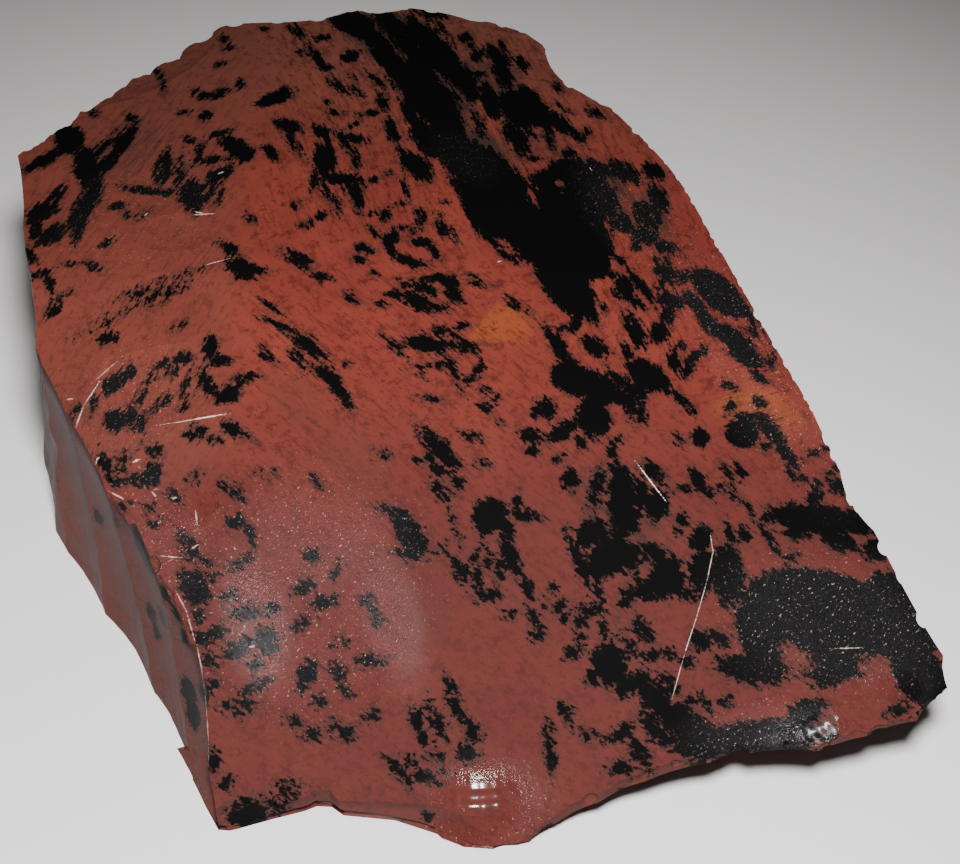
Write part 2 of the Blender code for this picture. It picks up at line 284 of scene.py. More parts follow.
@dataclass(frozen=True)
class Wall:
    """The broken wall round the stone: it stands on a flat base, hollows a little, and ends
    at the rim, over which the block it was knapped from runs straight up."""

    corners: tuple[Corner, ...]
    hollow_at: float = 0.42
    hollow: float = 0.8
    step: float = 0.7
    fewest_steps: int = 3
    rings: int = 30
    block_top: float = 36.0
    waver: float = 0.16
    waver_size: float = 6.0
    bite_fade: int = 2

    def rim(self, bitten: float = 1.0) -> Points:
        """The rim.

        Args:
            bitten: the share of each bite's depth that is taken.

        Returns:
            x, y, z and foot in each row, in mm.
        """
        rows = []
        for start, end in zip(self.corners, self.corners[1:] + self.corners[:1]):
            first = np.array([start.x, start.y, start.z, start.foot])
            last = np.array([end.x, end.y, end.z, end.foot])
            span = last - first
            length = math.hypot(span[0], span[1])
            inward = np.array([-span[1], span[0], 0, 0]) / length
            share = np.arange(max(self.fewest_steps, round(length / self.step)))[:, None]
            share = share / len(share)
            sag = 4 * start.bite * bitten * share * (1 - share)
            rows.append(first + span * share + inward * sag)
        return np.concatenate(rows)

    def ring(self, share: float) -> Points:
        """A loop of the wall. The rim's bites die out downwards.

        Args:
            share: the share of the rim's height that the loop is at.

        Returns:
            The loop's points in mm, one row each.
        """
        rim = self.rim(share**self.bite_fade)
        rest = 1 - share
        dip = min(share / self.hollow_at, rest / (1 - self.hollow_at))
        out = rim[:, 3] * rest - self.hollow * dip
        plan = rim[:, :2] + unit(rim[:, :2]) * out[:, None]
        return np.column_stack([plan, rim[:, 2] * share])

    def point(self, azimuth: float, share: float) -> np.ndarray:
        """A point of the wall.

        Args:
            azimuth: the way it lies from the middle, in degrees.
            share: the share of the rim's height that it is at.

        Returns:
            The point in mm.
        """
        ring = self.ring(share)
        after = np.roll(ring, -1, axis=0)
        sight = facing_vector(azimuth, 0)
        before = sight[0] * ring[:, 1] - sight[1] * ring[:, 0]
        beyond = sight[0] * after[:, 1] - sight[1] * after[:, 0]
        here = int(np.flatnonzero((before <= 0) & (beyond > 0) & (ring @ sight > 0))[0])
        share_of_span = before[here] / (before[here] - beyond[here])
        return ring[here] + (after[here] - ring[here]) * share_of_span


@dataclass(frozen=True)
class Scar:
    """A dished flake scar. The middle of its hollow lies on the unbroken surface, which
    faces and is crossed by the crack as two pairs of azimuth and elevation say. The blow
    fell some way behind the middle, and the ripples are rings about it. Finer rings lie
    between them, and hackles fan out to the hollow's edge: both are shares of the ripple."""

    name: str
    middle: np.ndarray
    facing: tuple[float, float]
    heading: tuple[float, float]
    length: float
    width: float
    depth: float
    blow: float
    spacing: float = 4.0
    ripple: float = 0.05
    fine_spacing: float = 0.29
    fine_ripple: float = 0.22
    hackles: int = 61
    hackle: float = 0.3
    hackle_rise: int = 3
    cell: float = 0.5
    margin: float = 0.8
    lid: float = 12.0

    def axes(self) -> np.ndarray:
        """The unit vectors along the run, across it and out of the stone, one a row."""
        out = facing_vector(*self.facing)
        heading = facing_vector(*self.heading)
        along = unit(heading - out * (heading @ out))
        return np.stack([along, np.cross(out, along), out])

    def bowl(self, along: np.ndarray, across: np.ndarray) -> np.ndarray:
        """The floor of the hollow.

        Args:
            along: how far along the run from the middle each point is, in mm.
            across: how far across it, in mm.

        Returns:
            How far the floor stands over the middle of the unbroken surface, in mm.
        """
        dish = (2 * along / self.length) ** 2 + (2 * across / self.width) ** 2 - 1
        run = np.hypot(along + self.blow, across)
        fading = np.clip(run / (self.blow + self.length / 2), 0, 1)
        rings = self.ripple * np.sin(math.tau * run / self.spacing)
        fine = self.fine_spacing * self.spacing
        rings += self.fine_ripple * self.ripple * np.sin(math.tau * run / fine)
        turn = np.arctan2(across, along + self.blow)
        hackle = self.hackle * self.ripple * np.sin(turn * self.hackles)
        hackle = hackle * fading**self.hackle_rise
        return self.depth * dish + rings * fading + hackle

    def stands_out(self, points: Points) -> np.ndarray:
        """How far points stand over the bowl."""
        along, across, out = ((points - self.middle) @ self.axes().T).T
        return out - self.bowl(along, across)


@dataclass(frozen=True)
class Chip:
    """A small round bite out of an edge, where a splinter of glass sprang off."""

    middle: np.ndarray
    radius: float

    def stands_out(self, points: Points) -> np.ndarray:
        """How far points stand inside the round that was taken off."""
        return self.radius - np.linalg.norm(points - self.middle, axis=1)


# Scars on the top, from the left rim inwards and then round by the front to the right:
# the middle in plan, the run's azimuth, and the hollow's length, width, depth and blow.
TOP_SCARS: dict[str, tuple[float, ...]] = {
    "corner_flake": (-43.0, 18.0, 235, 22, 14, 0.5, 12),
    "upper_left": (-31.5, 19.0, 290, 18, 15, 0.5, 9),
    "upper_left_nick": (-29.7, 12.5, 280, 7, 9, 0.4, 4),
    "fan": (-33.0, 0.5, 215, 22, 13, 0.6, 11),
    "left_hollow": (-29.5, -7.5, 20, 17, 13, 0.6, 9),
    "left_strip": (-43.0, -5.5, 265, 22, 15, 1.4, 14),
    "shoulder": (-31.5, -16.5, 20, 17, 14, 0.7, 9),
    "battered_edge": (-29.8, -25.5, 298, 19, 7, 0.35, 8),
    "front_hollow": (-12.0, -44.0, 270, 10, 16, 0.6, 7),
    "front_lip": (-12.0, -45.2, 0, 27, 7, 1.9, 14),
    "nose": (2.8, -40.0, 270, 15, 15, 1.1, 9),
    "tip_front": (28.5, -38.6, 262, 11, 19, 0.8, 8),
    "tip": (42.0, -37.0, 300, 14, 20, 0.5, 9),
    "right_strip": (32.5, 4.0, 294, 52, 14, 1.2, 30),
    "back_notch": (14.5, 43.0, 60, 14, 16, 0.8, 9),
    "back_strip": (-36.0, 40.5, 230, 22, 10, 0.7, 14),
}

# Scars on the wall, from the flutes on the left to the two that undercut the tip: the
# azimuth and the share of the rim's height at the middle, the run's azimuth and
# elevation, and the hollow's length, width, depth and blow.
WALL_SCARS: dict[str, tuple[float, ...]] = {
    "left_back_flute": (162, 0.48, 270, -75, 22, 14, 0.4, 14),
    "left_mid_flute": (179, 0.48, 270, -70, 22, 11, 0.4, 14),
    "left_flute": (193, 0.48, 290, -65, 20, 9, 0.45, 13),
    "left_low_flute": (206, 0.48, 300, -60, 19, 9, 0.45, 12),
    "left_slab_flute": (219, 0.44, 300, -55, 15, 8, 0.35, 10),
    "left_front_flute": (231, 0.42, 290, -55, 9, 7, 0.3, 7),
    "back_left": (135, 0.44, 190, -72, 20, 29, 1.3, 12),
    "back": (105, 0.44, 20, -75, 20, 32, 1.6, 12),
    "back_right": (71, 0.44, 340, -70, 19, 22, 1.3, 12),
    "right_back": (37, 0.44, 110, -70, 20, 28, 1.3, 12),
    "right": (350, 0.45, 260, -60, 19, 26, 1.4, 12),
    "under_tip": (322, 0.5, 230, -30, 26, 16, 1.2, 15),
    "under_front": (300, 0.5, 200, -10, 24, 8, 0.7, 13),
}


# How far to either side of a scar the unbroken surface is read for the way it faces: on
# the top in mm, and on the wall in degrees of azimuth and in shares of the rim's height.
TOP_SPAN = 0.8
WALL_SPAN = 3
WALL_RISE = 0.3


def top_scar(crown: Crown, name: str, numbers: tuple[float, ...]) -> Scar:
    """A scar struck off the crown.

    Args:
        crown: the crown.
        name: the scar's name.
        numbers: its row of TOP_SCARS.

    Returns:
        The scar.
    """
    x, y, run, *dimensions = numbers
    z = float(crown.height(np.array([x]), np.array([y]))[0])
    middle = np.array([x, y, z])
    out = slope_of(crown, middle[None], step=TOP_SPAN)[0]
    return Scar(name, middle, turned(out), (run, 0), *dimensions)


def wall_scar(wall: Wall, name: str, numbers: tuple[float, ...]) -> Scar:
    """A scar struck off the wall.

    Args:
        wall: the wall.
        name: the scar's name.
        numbers: its row of WALL_SCARS.

    Returns:
        The scar.
    """
    azimuth, share, run, fall, *dimensions = numbers
    around = wall.point(azimuth + WALL_SPAN, share) - wall.point(azimuth - WALL_SPAN, share)
    upward = wall.point(azimuth, share + WALL_RISE) - wall.point(azimuth, share - WALL_RISE)
    facing = turned(np.cross(around, upward))
    return Scar(name, wall.point(azimuth, share), facing, (run, fall), *dimensions)


def solid_from(name: str, places: Points, faces: list[tuple[int, ...]]) -> bpy.types.Object:
    """A closed mesh object with its faces outward.

    Args:
        name: the object's name.
        places: its vertices in mm.
        faces: its faces, as rows of vertex numbers.

    Returns:
        The object, linked to the scene.
    """
    mesh = bpy.data.meshes.new(name)
    mesh.from_pydata((places * MM).tolist(), [], faces)
    shape = bmesh.new()
    shape.from_mesh(mesh)
    many_sided = [face for face in shape.faces if len(face.verts) > 4]
    bmesh.ops.triangulate(shape, faces=many_sided)
    bmesh.ops.recalc_face_normals(shape, faces=shape.faces)
    shape.to_mesh(mesh)
    shape.free()
    piece = bpy.data.objects.new(name, mesh)
    bpy.context.scene.collection.objects.link(piece)
    return piece


def slab_over(name: str, under: Points, lid: Points) -> bpy.types.Object:
    """A closed slab between two grids of points of one size.

    Args:
        name: the object's name.
        under: the lower grid, rows by columns by three, in mm.
        lid: the upper grid, of the same shape.

    Returns:
        The slab.
    """
    rows, columns = under.shape[:2]
    number = np.arange(rows * columns).reshape(rows, columns)
    corners = (number[:-1, :-1], number[:-1, 1:], number[1:, 1:], number[1:, :-1])
    lower = np.stack([corner.ravel() for corner in corners], axis=1)
    border = np.concatenate([number[0], number[1:, -1], number[-1, -2::-1], number[-2:0:-1, 0]])
    rim = len(border)
    places = np.concatenate([under.reshape(-1, 3), lid.reshape(-1, 3)[border]])
    top = np.arange(rim) + rows * columns
    sides = np.stack([border, np.roll(border, -1), np.roll(top, -1), top], axis=1)
    faces = [tuple(face) for face in lower.tolist() + sides.tolist()] + [tuple(top.tolist())]
    return solid_from(name, places, faces)


@dataclass(frozen=True)
class ChippedStretch:
    """A part of the rim, from one azimuth to another, and the chips along it: their radii
    and gaps in mm, how deep each bites as a share of its radius, and how far up it lies."""

    start: float
    end: float
    radius: tuple[float, float]
    bite: tuple[float, float]
    gap: tuple[float, float]
    tilt: tuple[float, float]
    seed: int


CHIPPED: tuple[ChippedStretch, ...] = (
    ChippedStretch(150, 192, (0.6, 1.6), (0.08, 0.20), (1.5, 6.0), (20, 70), 1),
    ChippedStretch(192, 236, (0.5, 1.1), (0.12, 0.26), (0.0, 1.0), (10, 60), 2),
    ChippedStretch(246, 286, (0.4, 1.1), (0.10, 0.22), (0.5, 4.0), (10, 50), 3),
    ChippedStretch(286, 331, (0.4, 1.1), (0.10, 0.24), (0.0, 1.4), (-50, 25), 4),
    ChippedStretch(331, 420, (0.4, 1.1), (0.08, 0.20), (0.2, 2.2), (-40, 50), 5),
    ChippedStretch(60, 150, (0.6, 1.6), (0.08, 0.20), (0.8, 4.0), (-30, 60), 6),
)
# Every third chip is struck by one cutter. A chip leans a little to one side of straight
# out of the stone, and the next one starts this many half chords on, past the gap.
CHIP_SETS = 3
CHIP_STRAY = 14
CHIP_SPAN = 1.7
CHIP_ROUNDNESS = 4

# A face belongs to a surface that it lies this near to, in mm, and an arris is sharper
# than this angle, in degrees.
FIT = 0.03
ARRIS_ANGLE = 14

# Black glass in the top. In each row: the middle in plan, the length and width, the
# azimuth of the length, and how full of black the patch is, from specks to solid.
BLACK: dict[str, Rows] = {
    "great_band": (
        (-11.6, 48.6, 9.5, 4.4, -50, 1.0),
        (-9.4, 45.6, 7.0, 3.0, -55, 1.0),
        (-7.4, 48.2, 8.0, 3.2, -66, 1.0),
        (-3.2, 51.0, 4.0, 1.4, -20, 0.8),
        (-3.4, 44.4, 14.0, 6.0, -74, 1.0),
        (-6.8, 41.4, 9.0, 4.8, -60, 1.0),
        (-5.4, 37.4, 8.0, 4.6, -62, 1.0),
        (-2.2, 38.0, 9.0, 4.6, -72, 1.0),
        (0.9, 37.2, 8.0, 2.4, -75, 1.0),
        (-2.6, 32.0, 14.0, 7.0, -76, 1.0),
        (-4.9, 32.0, 4.0, 1.4, -60, 0.95),
        (-1.9, 27.0, 8.0, 5.4, -50, 1.0),
        (-2.6, 24.6, 4.2, 2.0, -40, 0.7),
        (0.6, 22.6, 8.0, 4.2, -58, 1.0),
        (3.4, 22.4, 9.0, 4.2, -55, 1.0),
        (3.2, 16.5, 10.0, 5.2, -72, 1.0),
        (1.6, 17.4, 8.0, 2.4, -62, 0.8),
        (4.6, 12.6, 8.0, 5.0, -48, 1.0),
        (7.8, 16.0, 12.0, 6.4, -75, 1.0),
        (9.2, 10.6, 9.5, 6.6, -45, 1.0),
        (12.6, 18.2, 12.0, 8.0, -85, 1.0),
        (12.6, 10.4, 11.0, 8.0, -90, 1.0),
        (11.4, 4.8, 10.0, 4.8, -62, 1.0),
        (13.3, 1.8, 5.0, 1.9, -55, 1.0),
        (5.4, 8.4, 2.6, 1.0, -35, 0.9),
        (15.6, 6.8, 3.6, 1.0, -25, 0.95),
    ),
    "right_of_the_band": (
        (7.6, 31.8, 9.5, 5.2, -62, 0.86),
        (3.7, 33.6, 7.0, 2.3, -78, 0.86),
        (2.5, 29.2, 5.0, 1.2, -80, 0.86),
        (6.4, 27.2, 6.5, 2.4, -70, 0.86),
        (5.2, 38.6, 6.5, 1.9, -76, 0.86),
        (4.6, 42.0, 5.0, 1.9, -62, 0.86),
        (5.4, 43.3, 3.4, 0.9, -70, 0.9),
        (7.3, 41.0, 2.8, 1.4, -80, 0.86),
        (0.9, 46.0, 2.1, 1.6, 80, 0.86),
        (1.5, 44.4, 1.6, 0.8, -75, 0.8),
        (2.3, 42.6, 2.6, 1.5, 70, 0.86),
        (2.6, 38.8, 1.7, 1.1, 0, 0.9),
        (11.2, 30.2, 4.4, 2.1, -60, 0.86),
        (13.1, 28.0, 2.6, 0.9, -65, 0.86),
        (8.3, 34.9, 3.4, 1.3, -65, 0.86),
        (11.2, 36.8, 2.2, 0.9, -75, 0.7),
        (15.3, 32.2, 2.6, 1.2, -55, 0.85),
        (14.3, 28.7, 1.6, 0.8, 75, 0.65),
        (11.1, 33.3, 0.9, 0.6, -50, 0.65),
        (12.2, 32.3, 0.8, 0.6, -50, 0.6),
        (12.2, 24.9, 1.6, 1.4, 90, 0.85),
        (8.3, 23.8, 1.4, 1.0, 0, 0.9),
        (10.3, 26.6, 2.6, 0.8, -75, 0.6),
    ),
    "right_cloud": (
        (15.3, 22.6, 3.4, 2.2, -50, 0.95),
        (18.2, 22.4, 4.2, 2.8, -50, 0.72),
        (21.5, 22.8, 3.2, 2.0, -55, 0.85),
        (19.3, 20.9, 1.6, 1.0, -40, 0.7),
        (21.7, 18.2, 4.2, 2.0, -75, 0.75),
        (16.6, 17.2, 5.0, 1.6, -85, 0.65),
        (20.4, 15.6, 4.2, 3.0, -70, 0.66),
        (17.5, 14.2, 3.2, 2.5, -60, 1.0),
        (20.0, 12.5, 3.4, 2.4, -45, 0.7),
        (22.0, 11.0, 3.2, 1.6, -30, 0.76),
        (19.0, 10.8, 1.3, 1.0, 80, 0.9),
        (17.2, 8.7, 1.2, 0.7, -60, 0.8),
        (20.8, 9.0, 1.1, 0.8, -30, 0.85),
        (22.2, 8.8, 1.8, 0.9, -80, 0.8),
        (22.0, 7.2, 3.0, 2.1, -20, 1.0),
        (21.5, 5.7, 2.6, 0.7, 75, 0.85),
        (22.9, 6.1, 1.6, 1.0, -80, 0.95),
        (24.1, 7.0, 1.8, 1.1, 60, 0.8),
        (17.8, 5.0, 3.2, 2.1, 80, 0.95),
        (17.2, 3.7, 2.0, 1.0, -60, 0.95),
        (19.5, 4.7, 5.2, 1.2, -62, 0.95),
        (18.8, 2.7, 1.7, 1.0, -50, 0.85),
        (15.3, 2.0, 1.1, 0.7, -60, 0.9),
        (22.4, 3.4, 3.6, 2.0, -10, 0.85),
        (21.9, 1.5, 2.8, 1.5, 85, 0.85),
        (27.4, 5.7, 7.2, 4.6, -55, 0.97),
        (30.7, 3.2, 4.0, 0.9, -65, 0.95),
        (25.0, 3.2, 3.4, 1.5, -60, 0.9),
        (26.2, 0.8, 3.2, 1.7, -60, 0.95),
        (28.8, -0.9, 5.0, 3.0, -40, 0.95),
        (29.9, -3.1, 4.2, 2.8, -20, 0.9),
        (30.8, 0.6, 1.5, 0.8, -50, 0.7),
        (31.1, -5.7, 2.2, 1.3, -50, 0.92),
        (32.5, -3.2, 2.3, 0.8, 75, 0.85),
        (25.7, -2.8, 1.2, 0.9, 80, 0.95),
        (23.4, -2.5, 1.3, 0.8, -40, 0.8),
        (24.5, -3.7, 1.7, 0.9, 50, 0.9),
    ),
    "right_middle": (
        (12.4, -0.4, 2.2, 1.0, 60, 0.92),
        (10.8, -1.1, 1.1, 0.7, 40, 0.85),
        (14.2, -3.2, 3.2, 1.8, -40, 1.0),
        (10.4, -3.2, 5.0, 1.5, -65, 0.7),
        (12.0, -7.2, 5.0, 3.8, -40, 1.0),
        (14.6, -8.2, 4.4, 3.2, -60, 1.0),
        (16.7, -9.2, 3.4, 1.8, -10, 0.95),
        (14.0, -11.6, 4.6, 3.3, -80, 1.0),
        (11.0, -13.0, 3.4, 1.6, 35, 1.0),
        (12.6, -14.3, 1.6, 0.9, -70, 0.8),
        (9.3, -10.8, 2.4, 1.4, -60, 0.95),
        (8.1, -11.0, 1.6, 0.8, 80, 1.0),
        (7.9, -13.8, 2.4, 1.3, -20, 1.0),
        (7.7, -15.3, 1.3, 0.8, -10, 0.9),
        (18.5, -1.0, 4.6, 1.8, -68, 1.0),
        (21.0, -1.0, 2.8, 1.9, 80, 1.0),
        (19.2, -6.3, 4.6, 3.2, -55, 1.0),
        (20.9, -7.0, 3.8, 1.4, -62, 1.0),
        (17.7, -3.9, 3.2, 1.0, -70, 0.92),
        (16.8, -7.3, 3.2, 1.2, -50, 0.92),
        (18.5, -8.5, 2.2, 1.2, -30, 0.9),
        (18.8, -10.8, 2.4, 1.1, -75, 0.96),
        (17.2, -10.2, 2.8, 0.8, -70, 0.88),
        (22.3, -4.2, 2.6, 1.2, -80, 0.96),
        (23.7, -5.3, 2.3, 1.2, 80, 0.96),
        (23.0, -9.3, 2.2, 0.9, -50, 0.75),
        (24.0, -10.4, 0.9, 0.7, -70, 0.8),
        (27.9, -7.2, 1.8, 0.9, -35, 0.6),
        (24.7, -13.3, 2.0, 1.7, 80, 1.0),
        (22.5, -13.8, 1.3, 0.8, -60, 0.92),
        (28.9, -12.6, 3.4, 3.2, 80, 1.0),
        (30.0, -10.7, 4.0, 1.1, 0, 0.88),
        (31.9, -12.1, 4.2, 1.6, -55, 0.92),
        (33.3, -14.6, 3.0, 1.3, -50, 0.82),
        (31.3, -13.9, 1.4, 0.9, 60, 0.8),
        (27.9, -9.6, 1.5, 0.9, 60, 0.75),
        (31.0, -8.9, 1.5, 1.0, -60, 0.8),
        (16.3, -14.1, 1.1, 0.8, 20, 0.95),
        (15.7, -15.4, 1.5, 0.8, -60, 0.92),
        (10.4, -16.0, 1.0, 0.9, 0, 0.96),
        (11.5, -18.2, 2.4, 1.7, -75, 1.0),
        (36.3, -14.3, 2.2, 0.7, 30, 0.75),
        (33.7, -17.0, 1.3, 0.9, -60, 0.85),
        (34.8, -17.2, 1.1, 0.7, 0, 0.8),
        (36.3, -17.7, 1.1, 0.9, 0, 0.96),
        (38.3, -17.8, 2.0, 1.4, -30, 0.92),
        (37.8, -16.2, 1.6, 0.6, 40, 0.65),
        (24.3, -18.0, 2.4, 1.3, -60, 0.96),
        (25.2, -19.2, 1.4, 0.8, -60, 0.9),
        (22.6, -19.0, 1.1, 0.7, 0, 0.8),
        (27.3, -17.3, 1.8, 0.9, -60, 0.82),
        (28.5, -16.8, 1.5, 0.8, -60, 0.95),
        (26.7, -18.5, 1.8, 0.7, 30, 0.62),
        (27.7, -19.1, 1.4, 0.6, -60, 0.6),
    ),
    "spiky_cluster": (
        (16.8, -20.6, 6.5, 3.2, -88, 1.0),
        (16.5, -17.8, 2.6, 1.8, -60, 0.95),
        (19.8, -17.3, 2.9, 1.4, -35, 1.0),
        (20.0, -20.6, 3.4, 2.4, 75, 1.0),
        (18.6, -19.4, 2.4, 1.4, -80, 0.9),
        (14.1, -19.0, 3.4, 1.1, 80, 0.95),
        (13.6, -20.3, 1.7, 0.8, 60, 0.9),
        (13.5, -23.4, 3.2, 2.3, 40, 1.0),
        (16.2, -24.6, 5.0, 3.2, -60, 1.0),
        (11.8, -25.0, 3.0, 0.9, -70, 0.96),
        (12.7, -26.4, 3.6, 1.3, -65, 1.0),
        (14.5, -25.9, 3.2, 2.5, -70, 1.0),
        (14.1, -28.4, 1.9, 0.8, -70, 0.92),
        (16.8, -29.2, 1.8, 1.1, -60, 1.0),
        (20.6, -27.3, 5.6, 3.8, -10, 1.0),
        (18.6, -28.6, 3.0, 1.4, -10, 0.96),
        (19.4, -25.0, 3.0, 1.4, -20, 0.96),
        (24.4, -27.0, 4.2, 2.6, 85, 1.0),
        (24.3, -23.8, 2.5, 2.0, 60, 1.0),
        (23.2, -29.0, 2.0, 0.9, -10, 0.95),
        (27.0, -27.2, 5.4, 3.2, -85, 1.0),
        (27.3, -23.6, 2.2, 0.9, -75, 0.96),
        (28.6, -23.3, 1.6, 1.2, -60, 1.0),
        (22.5, -22.0, 1.6, 1.0, -70, 0.92),
        (22.2, -23.3, 1.0, 0.6, -60, 0.6),
        (29.4, -21.0, 1.4, 0.5, -60, 0.75),
        (30.5, -21.9, 1.0, 0.6, 0, 0.7),
        (31.4, -24.0, 3.6, 0.5, -58, 0.75),
    ),
    "right_rim": (
        (36.0, -21.4, 9.4, 3.0, -2, 1.0),
        (33.5, -23.1, 2.5, 1.0, -10, 0.92),
        (37.9, -23.5, 4.0, 1.9, -22, 1.0),
        (40.0, -21.5, 4.2, 2.4, -15, 1.0),
        (35.8, -19.4, 2.2, 1.4, 60, 1.0),
        (31.3, -21.4, 1.3, 1.0, 0, 0.96),
        (41.8, -24.2, 2.3, 2.1, 40, 1.0),
        (33.1, -25.5, 1.3, 0.8, 20, 0.92),
    ),
    "black_corner": (
        (36.5, -30.4, 17.0, 7.4, -8, 1.0),
        (44.0, -30.5, 9.0, 7.6, -60, 1.0),
        (33.5, -29.0, 4.0, 3.0, -40, 1.0),
        (30.6, -32.0, 7.0, 5.6, -55, 1.0),
        (45.6, -35.6, 6.0, 4.6, -40, 1.0),
        (28.4, -35.2, 5.4, 1.6, -12, 1.0),
        (30.5, -34.6, 4.4, 3.0, -30, 1.0),
        (37.0, -35.0, 6.0, 3.4, 8, 1.0),
        (43.4, -38.5, 2.0, 1.0, 10, 0.9),
        (30.5, -40.3, 12.0, 2.9, 0, 1.0),
        (34.2, -38.6, 4.0, 1.8, 12, 0.85),
        (22.4, -39.6, 9.0, 3.6, -22, 0.97),
        (20.0, -37.6, 5.4, 2.2, -42, 0.95),
        (37.7, -38.8, 1.0, 0.7, 20, 0.8),
    ),
    "front_right": (
        (8.2, -31.8, 1.4, 1.0, 0, 0.96),
        (10.5, -29.5, 1.4, 0.9, 45, 1.0),
        (9.7, -28.1, 1.0, 0.8, 0, 0.96),
        (10.7, -30.6, 0.9, 0.6, 0, 0.85),
        (8.7, -29.8, 0.8, 0.6, 0, 0.8),
        (12.3, -30.9, 1.3, 0.9, -20, 0.92),
        (12.4, -32.2, 1.0, 0.7, 0, 0.92),
        (14.5, -31.5, 1.6, 0.7, -70, 0.96),
        (13.4, -30.0, 2.8, 0.6, -5, 0.75),
        (11.6, -33.4, 1.5, 1.0, 10, 1.0),
        (16.2, -32.0, 1.1, 0.6, -10, 0.92),
        (17.4, -33.0, 1.4, 0.7, -60, 0.85),
        (18.5, -31.8, 2.4, 1.4, -45, 1.0),
        (19.3, -34.0, 1.8, 0.9, 0, 1.0),
        (21.2, -33.8, 1.9, 0.7, -35, 0.92),
        (22.6, -34.4, 1.5, 0.8, -20, 0.92),
        (24.2, -32.8, 2.3, 1.6, 10, 1.0),
        (26.1, -32.7, 2.0, 1.1, -30, 1.0),
        (15.2, -34.4, 3.8, 3.0, -35, 1.0),
        (16.5, -36.0, 2.2, 1.6, -45, 1.0),
        (13.5, -35.3, 1.5, 1.4, 0, 0.92),
        (18.3, -35.9, 2.3, 1.6, -30, 0.95),
        (21.0, -36.2, 2.2, 1.2, -40, 0.92),
        (23.3, -37.3, 1.5, 0.8, 20, 0.7),
        (26.6, -37.2, 1.3, 0.7, 0, 0.7),
        (24.8, -37.6, 1.1, 0.5, -30, 0.7),
        (16.3, -39.6, 2.8, 1.1, 15, 0.9),
        (18.1, -41.0, 3.2, 1.2, -40, 0.85),
        (16.4, -42.1, 2.4, 0.8, -5, 0.75),
        (13.1, -39.5, 1.3, 0.8, -20, 0.9),
        (10.8, -37.5, 1.4, 0.9, -20, 0.96),
        (11.2, -38.4, 1.0, 0.6, -60, 0.7),
        (9.3, -39.3, 1.8, 0.9, -78, 1.0),
        (9.5, -41.2, 1.5, 0.8, -70, 0.65),
    ),
    "front": (
        (1.8, -38.2, 1.7, 1.0, -10, 0.96),
        (1.2, -39.6, 2.2, 1.3, -10, 0.96),
        (0.3, -36.8, 2.0, 0.8, -35, 0.75),
        (-0.2, -35.6, 1.8, 0.7, -60, 0.7),
        (-1.7, -37.5, 2.6, 1.0, -55, 0.8),
        (-3.8, -37.5, 1.7, 1.1, -50, 0.85),
        (-3.1, -38.7, 1.3, 0.8, -30, 0.92),
        (-1.8, -39.9, 1.7, 0.6, 0, 0.92),
        (-5.5, -41.1, 2.6, 0.9, -35, 0.96),
        (-4.3, -40.3, 0.9, 0.5, 0, 0.75),
        (-2.9, -41.5, 2.1, 0.9, -10, 0.95),
        (-1.1, -41.0, 1.0, 0.5, -10, 0.8),
        (-8.3, -37.1, 1.5, 0.8, 10, 0.82),
        (-10.8, -38.4, 1.7, 1.0, -10, 0.92),
        (-12.0, -37.8, 1.4, 1.0, 0, 0.5),
        (-14.0, -38.4, 1.8, 0.8, -5, 0.92),
        (-15.8, -37.4, 1.4, 0.7, -10, 0.88),
        (-14.6, -33.9, 2.3, 1.6, 60, 0.98),
        (-13.4, -35.8, 1.3, 0.7, -10, 0.85),
        (-10.8, -35.2, 1.1, 0.6, -20, 0.65),
        (-20.4, -36.0, 1.8, 0.8, -20, 0.92),
        (-21.5, -36.7, 1.1, 0.5, 0, 0.65),
        (-20.3, -34.9, 1.5, 0.5, 5, 0.75),
        (-18.9, -34.4, 1.0, 0.6, 20, 0.75),
        (-23.8, -34.5, 0.9, 0.6, 30, 0.85),
        (-22.7, -36.3, 1.1, 0.5, 0, 0.65),
        (-24.6, -35.2, 1.6, 0.9, 60, 0.8),
        (-23.9, -40.3, 1.6, 1.4, 80, 1.0),
        (-22.7, -42.0, 1.3, 0.8, 20, 0.65),
        (-16.5, -42.0, 1.9, 0.6, 5, 0.96),
        (-17.2, -42.8, 3.0, 0.8, 20, 0.65),
        (-20.8, -43.4, 2.8, 0.9, 12, 0.96),
        (-24.3, -32.6, 1.5, 1.0, -40, 0.85),
    ),
    "bulge": (
        (-28.2, -18.5, 1.7, 0.9, -40, 0.95),
        (-21.8, -18.6, 1.9, 1.0, -50, 0.85),
        (-23.2, -17.6, 1.1, 0.7, -50, 0.65),
        (-29.8, -21.1, 1.2, 0.9, 0, 0.96),
        (-30.5, -19.8, 1.1, 0.8, 60, 0.7),
        (-33.0, -19.4, 1.3, 0.7, 0, 0.65),
        (-21.8, -21.2, 1.6, 1.2, 0, 0.92),
        (-20.4, -22.3, 2.0, 0.9, -50, 0.75),
        (-26.7, -22.7, 1.7, 0.9, -30, 0.85),
        (-26.2, -24.0, 1.7, 0.8, -20, 0.75),
        (-24.9, -24.6, 1.3, 0.6, -20, 0.85),
        (-21.8, -25.0, 1.3, 0.7, 10, 0.65),
        (-20.6, -24.5, 1.1, 0.6, 20, 0.65),
        (-14.2, -24.4, 1.4, 1.0, -30, 0.75),
        (-25.8, -26.8, 3.4, 2.3, -35, 0.96),
        (-27.0, -25.6, 1.2, 1.0, 0, 0.8),
        (-24.1, -26.0, 1.1, 0.8, 0, 0.85),
        (-25.4, -29.2, 1.2, 0.8, 10, 1.0),
        (-22.4, -27.5, 1.5, 0.9, 0, 0.75),
        (-15.0, -27.0, 1.9, 1.2, 20, 0.75),
        (-13.2, -28.3, 1.7, 1.0, 10, 0.92),
        (-12.1, -28.1, 0.8, 0.6, 0, 0.85),
        (-11.7, -25.6, 1.3, 0.7, 70, 0.55),
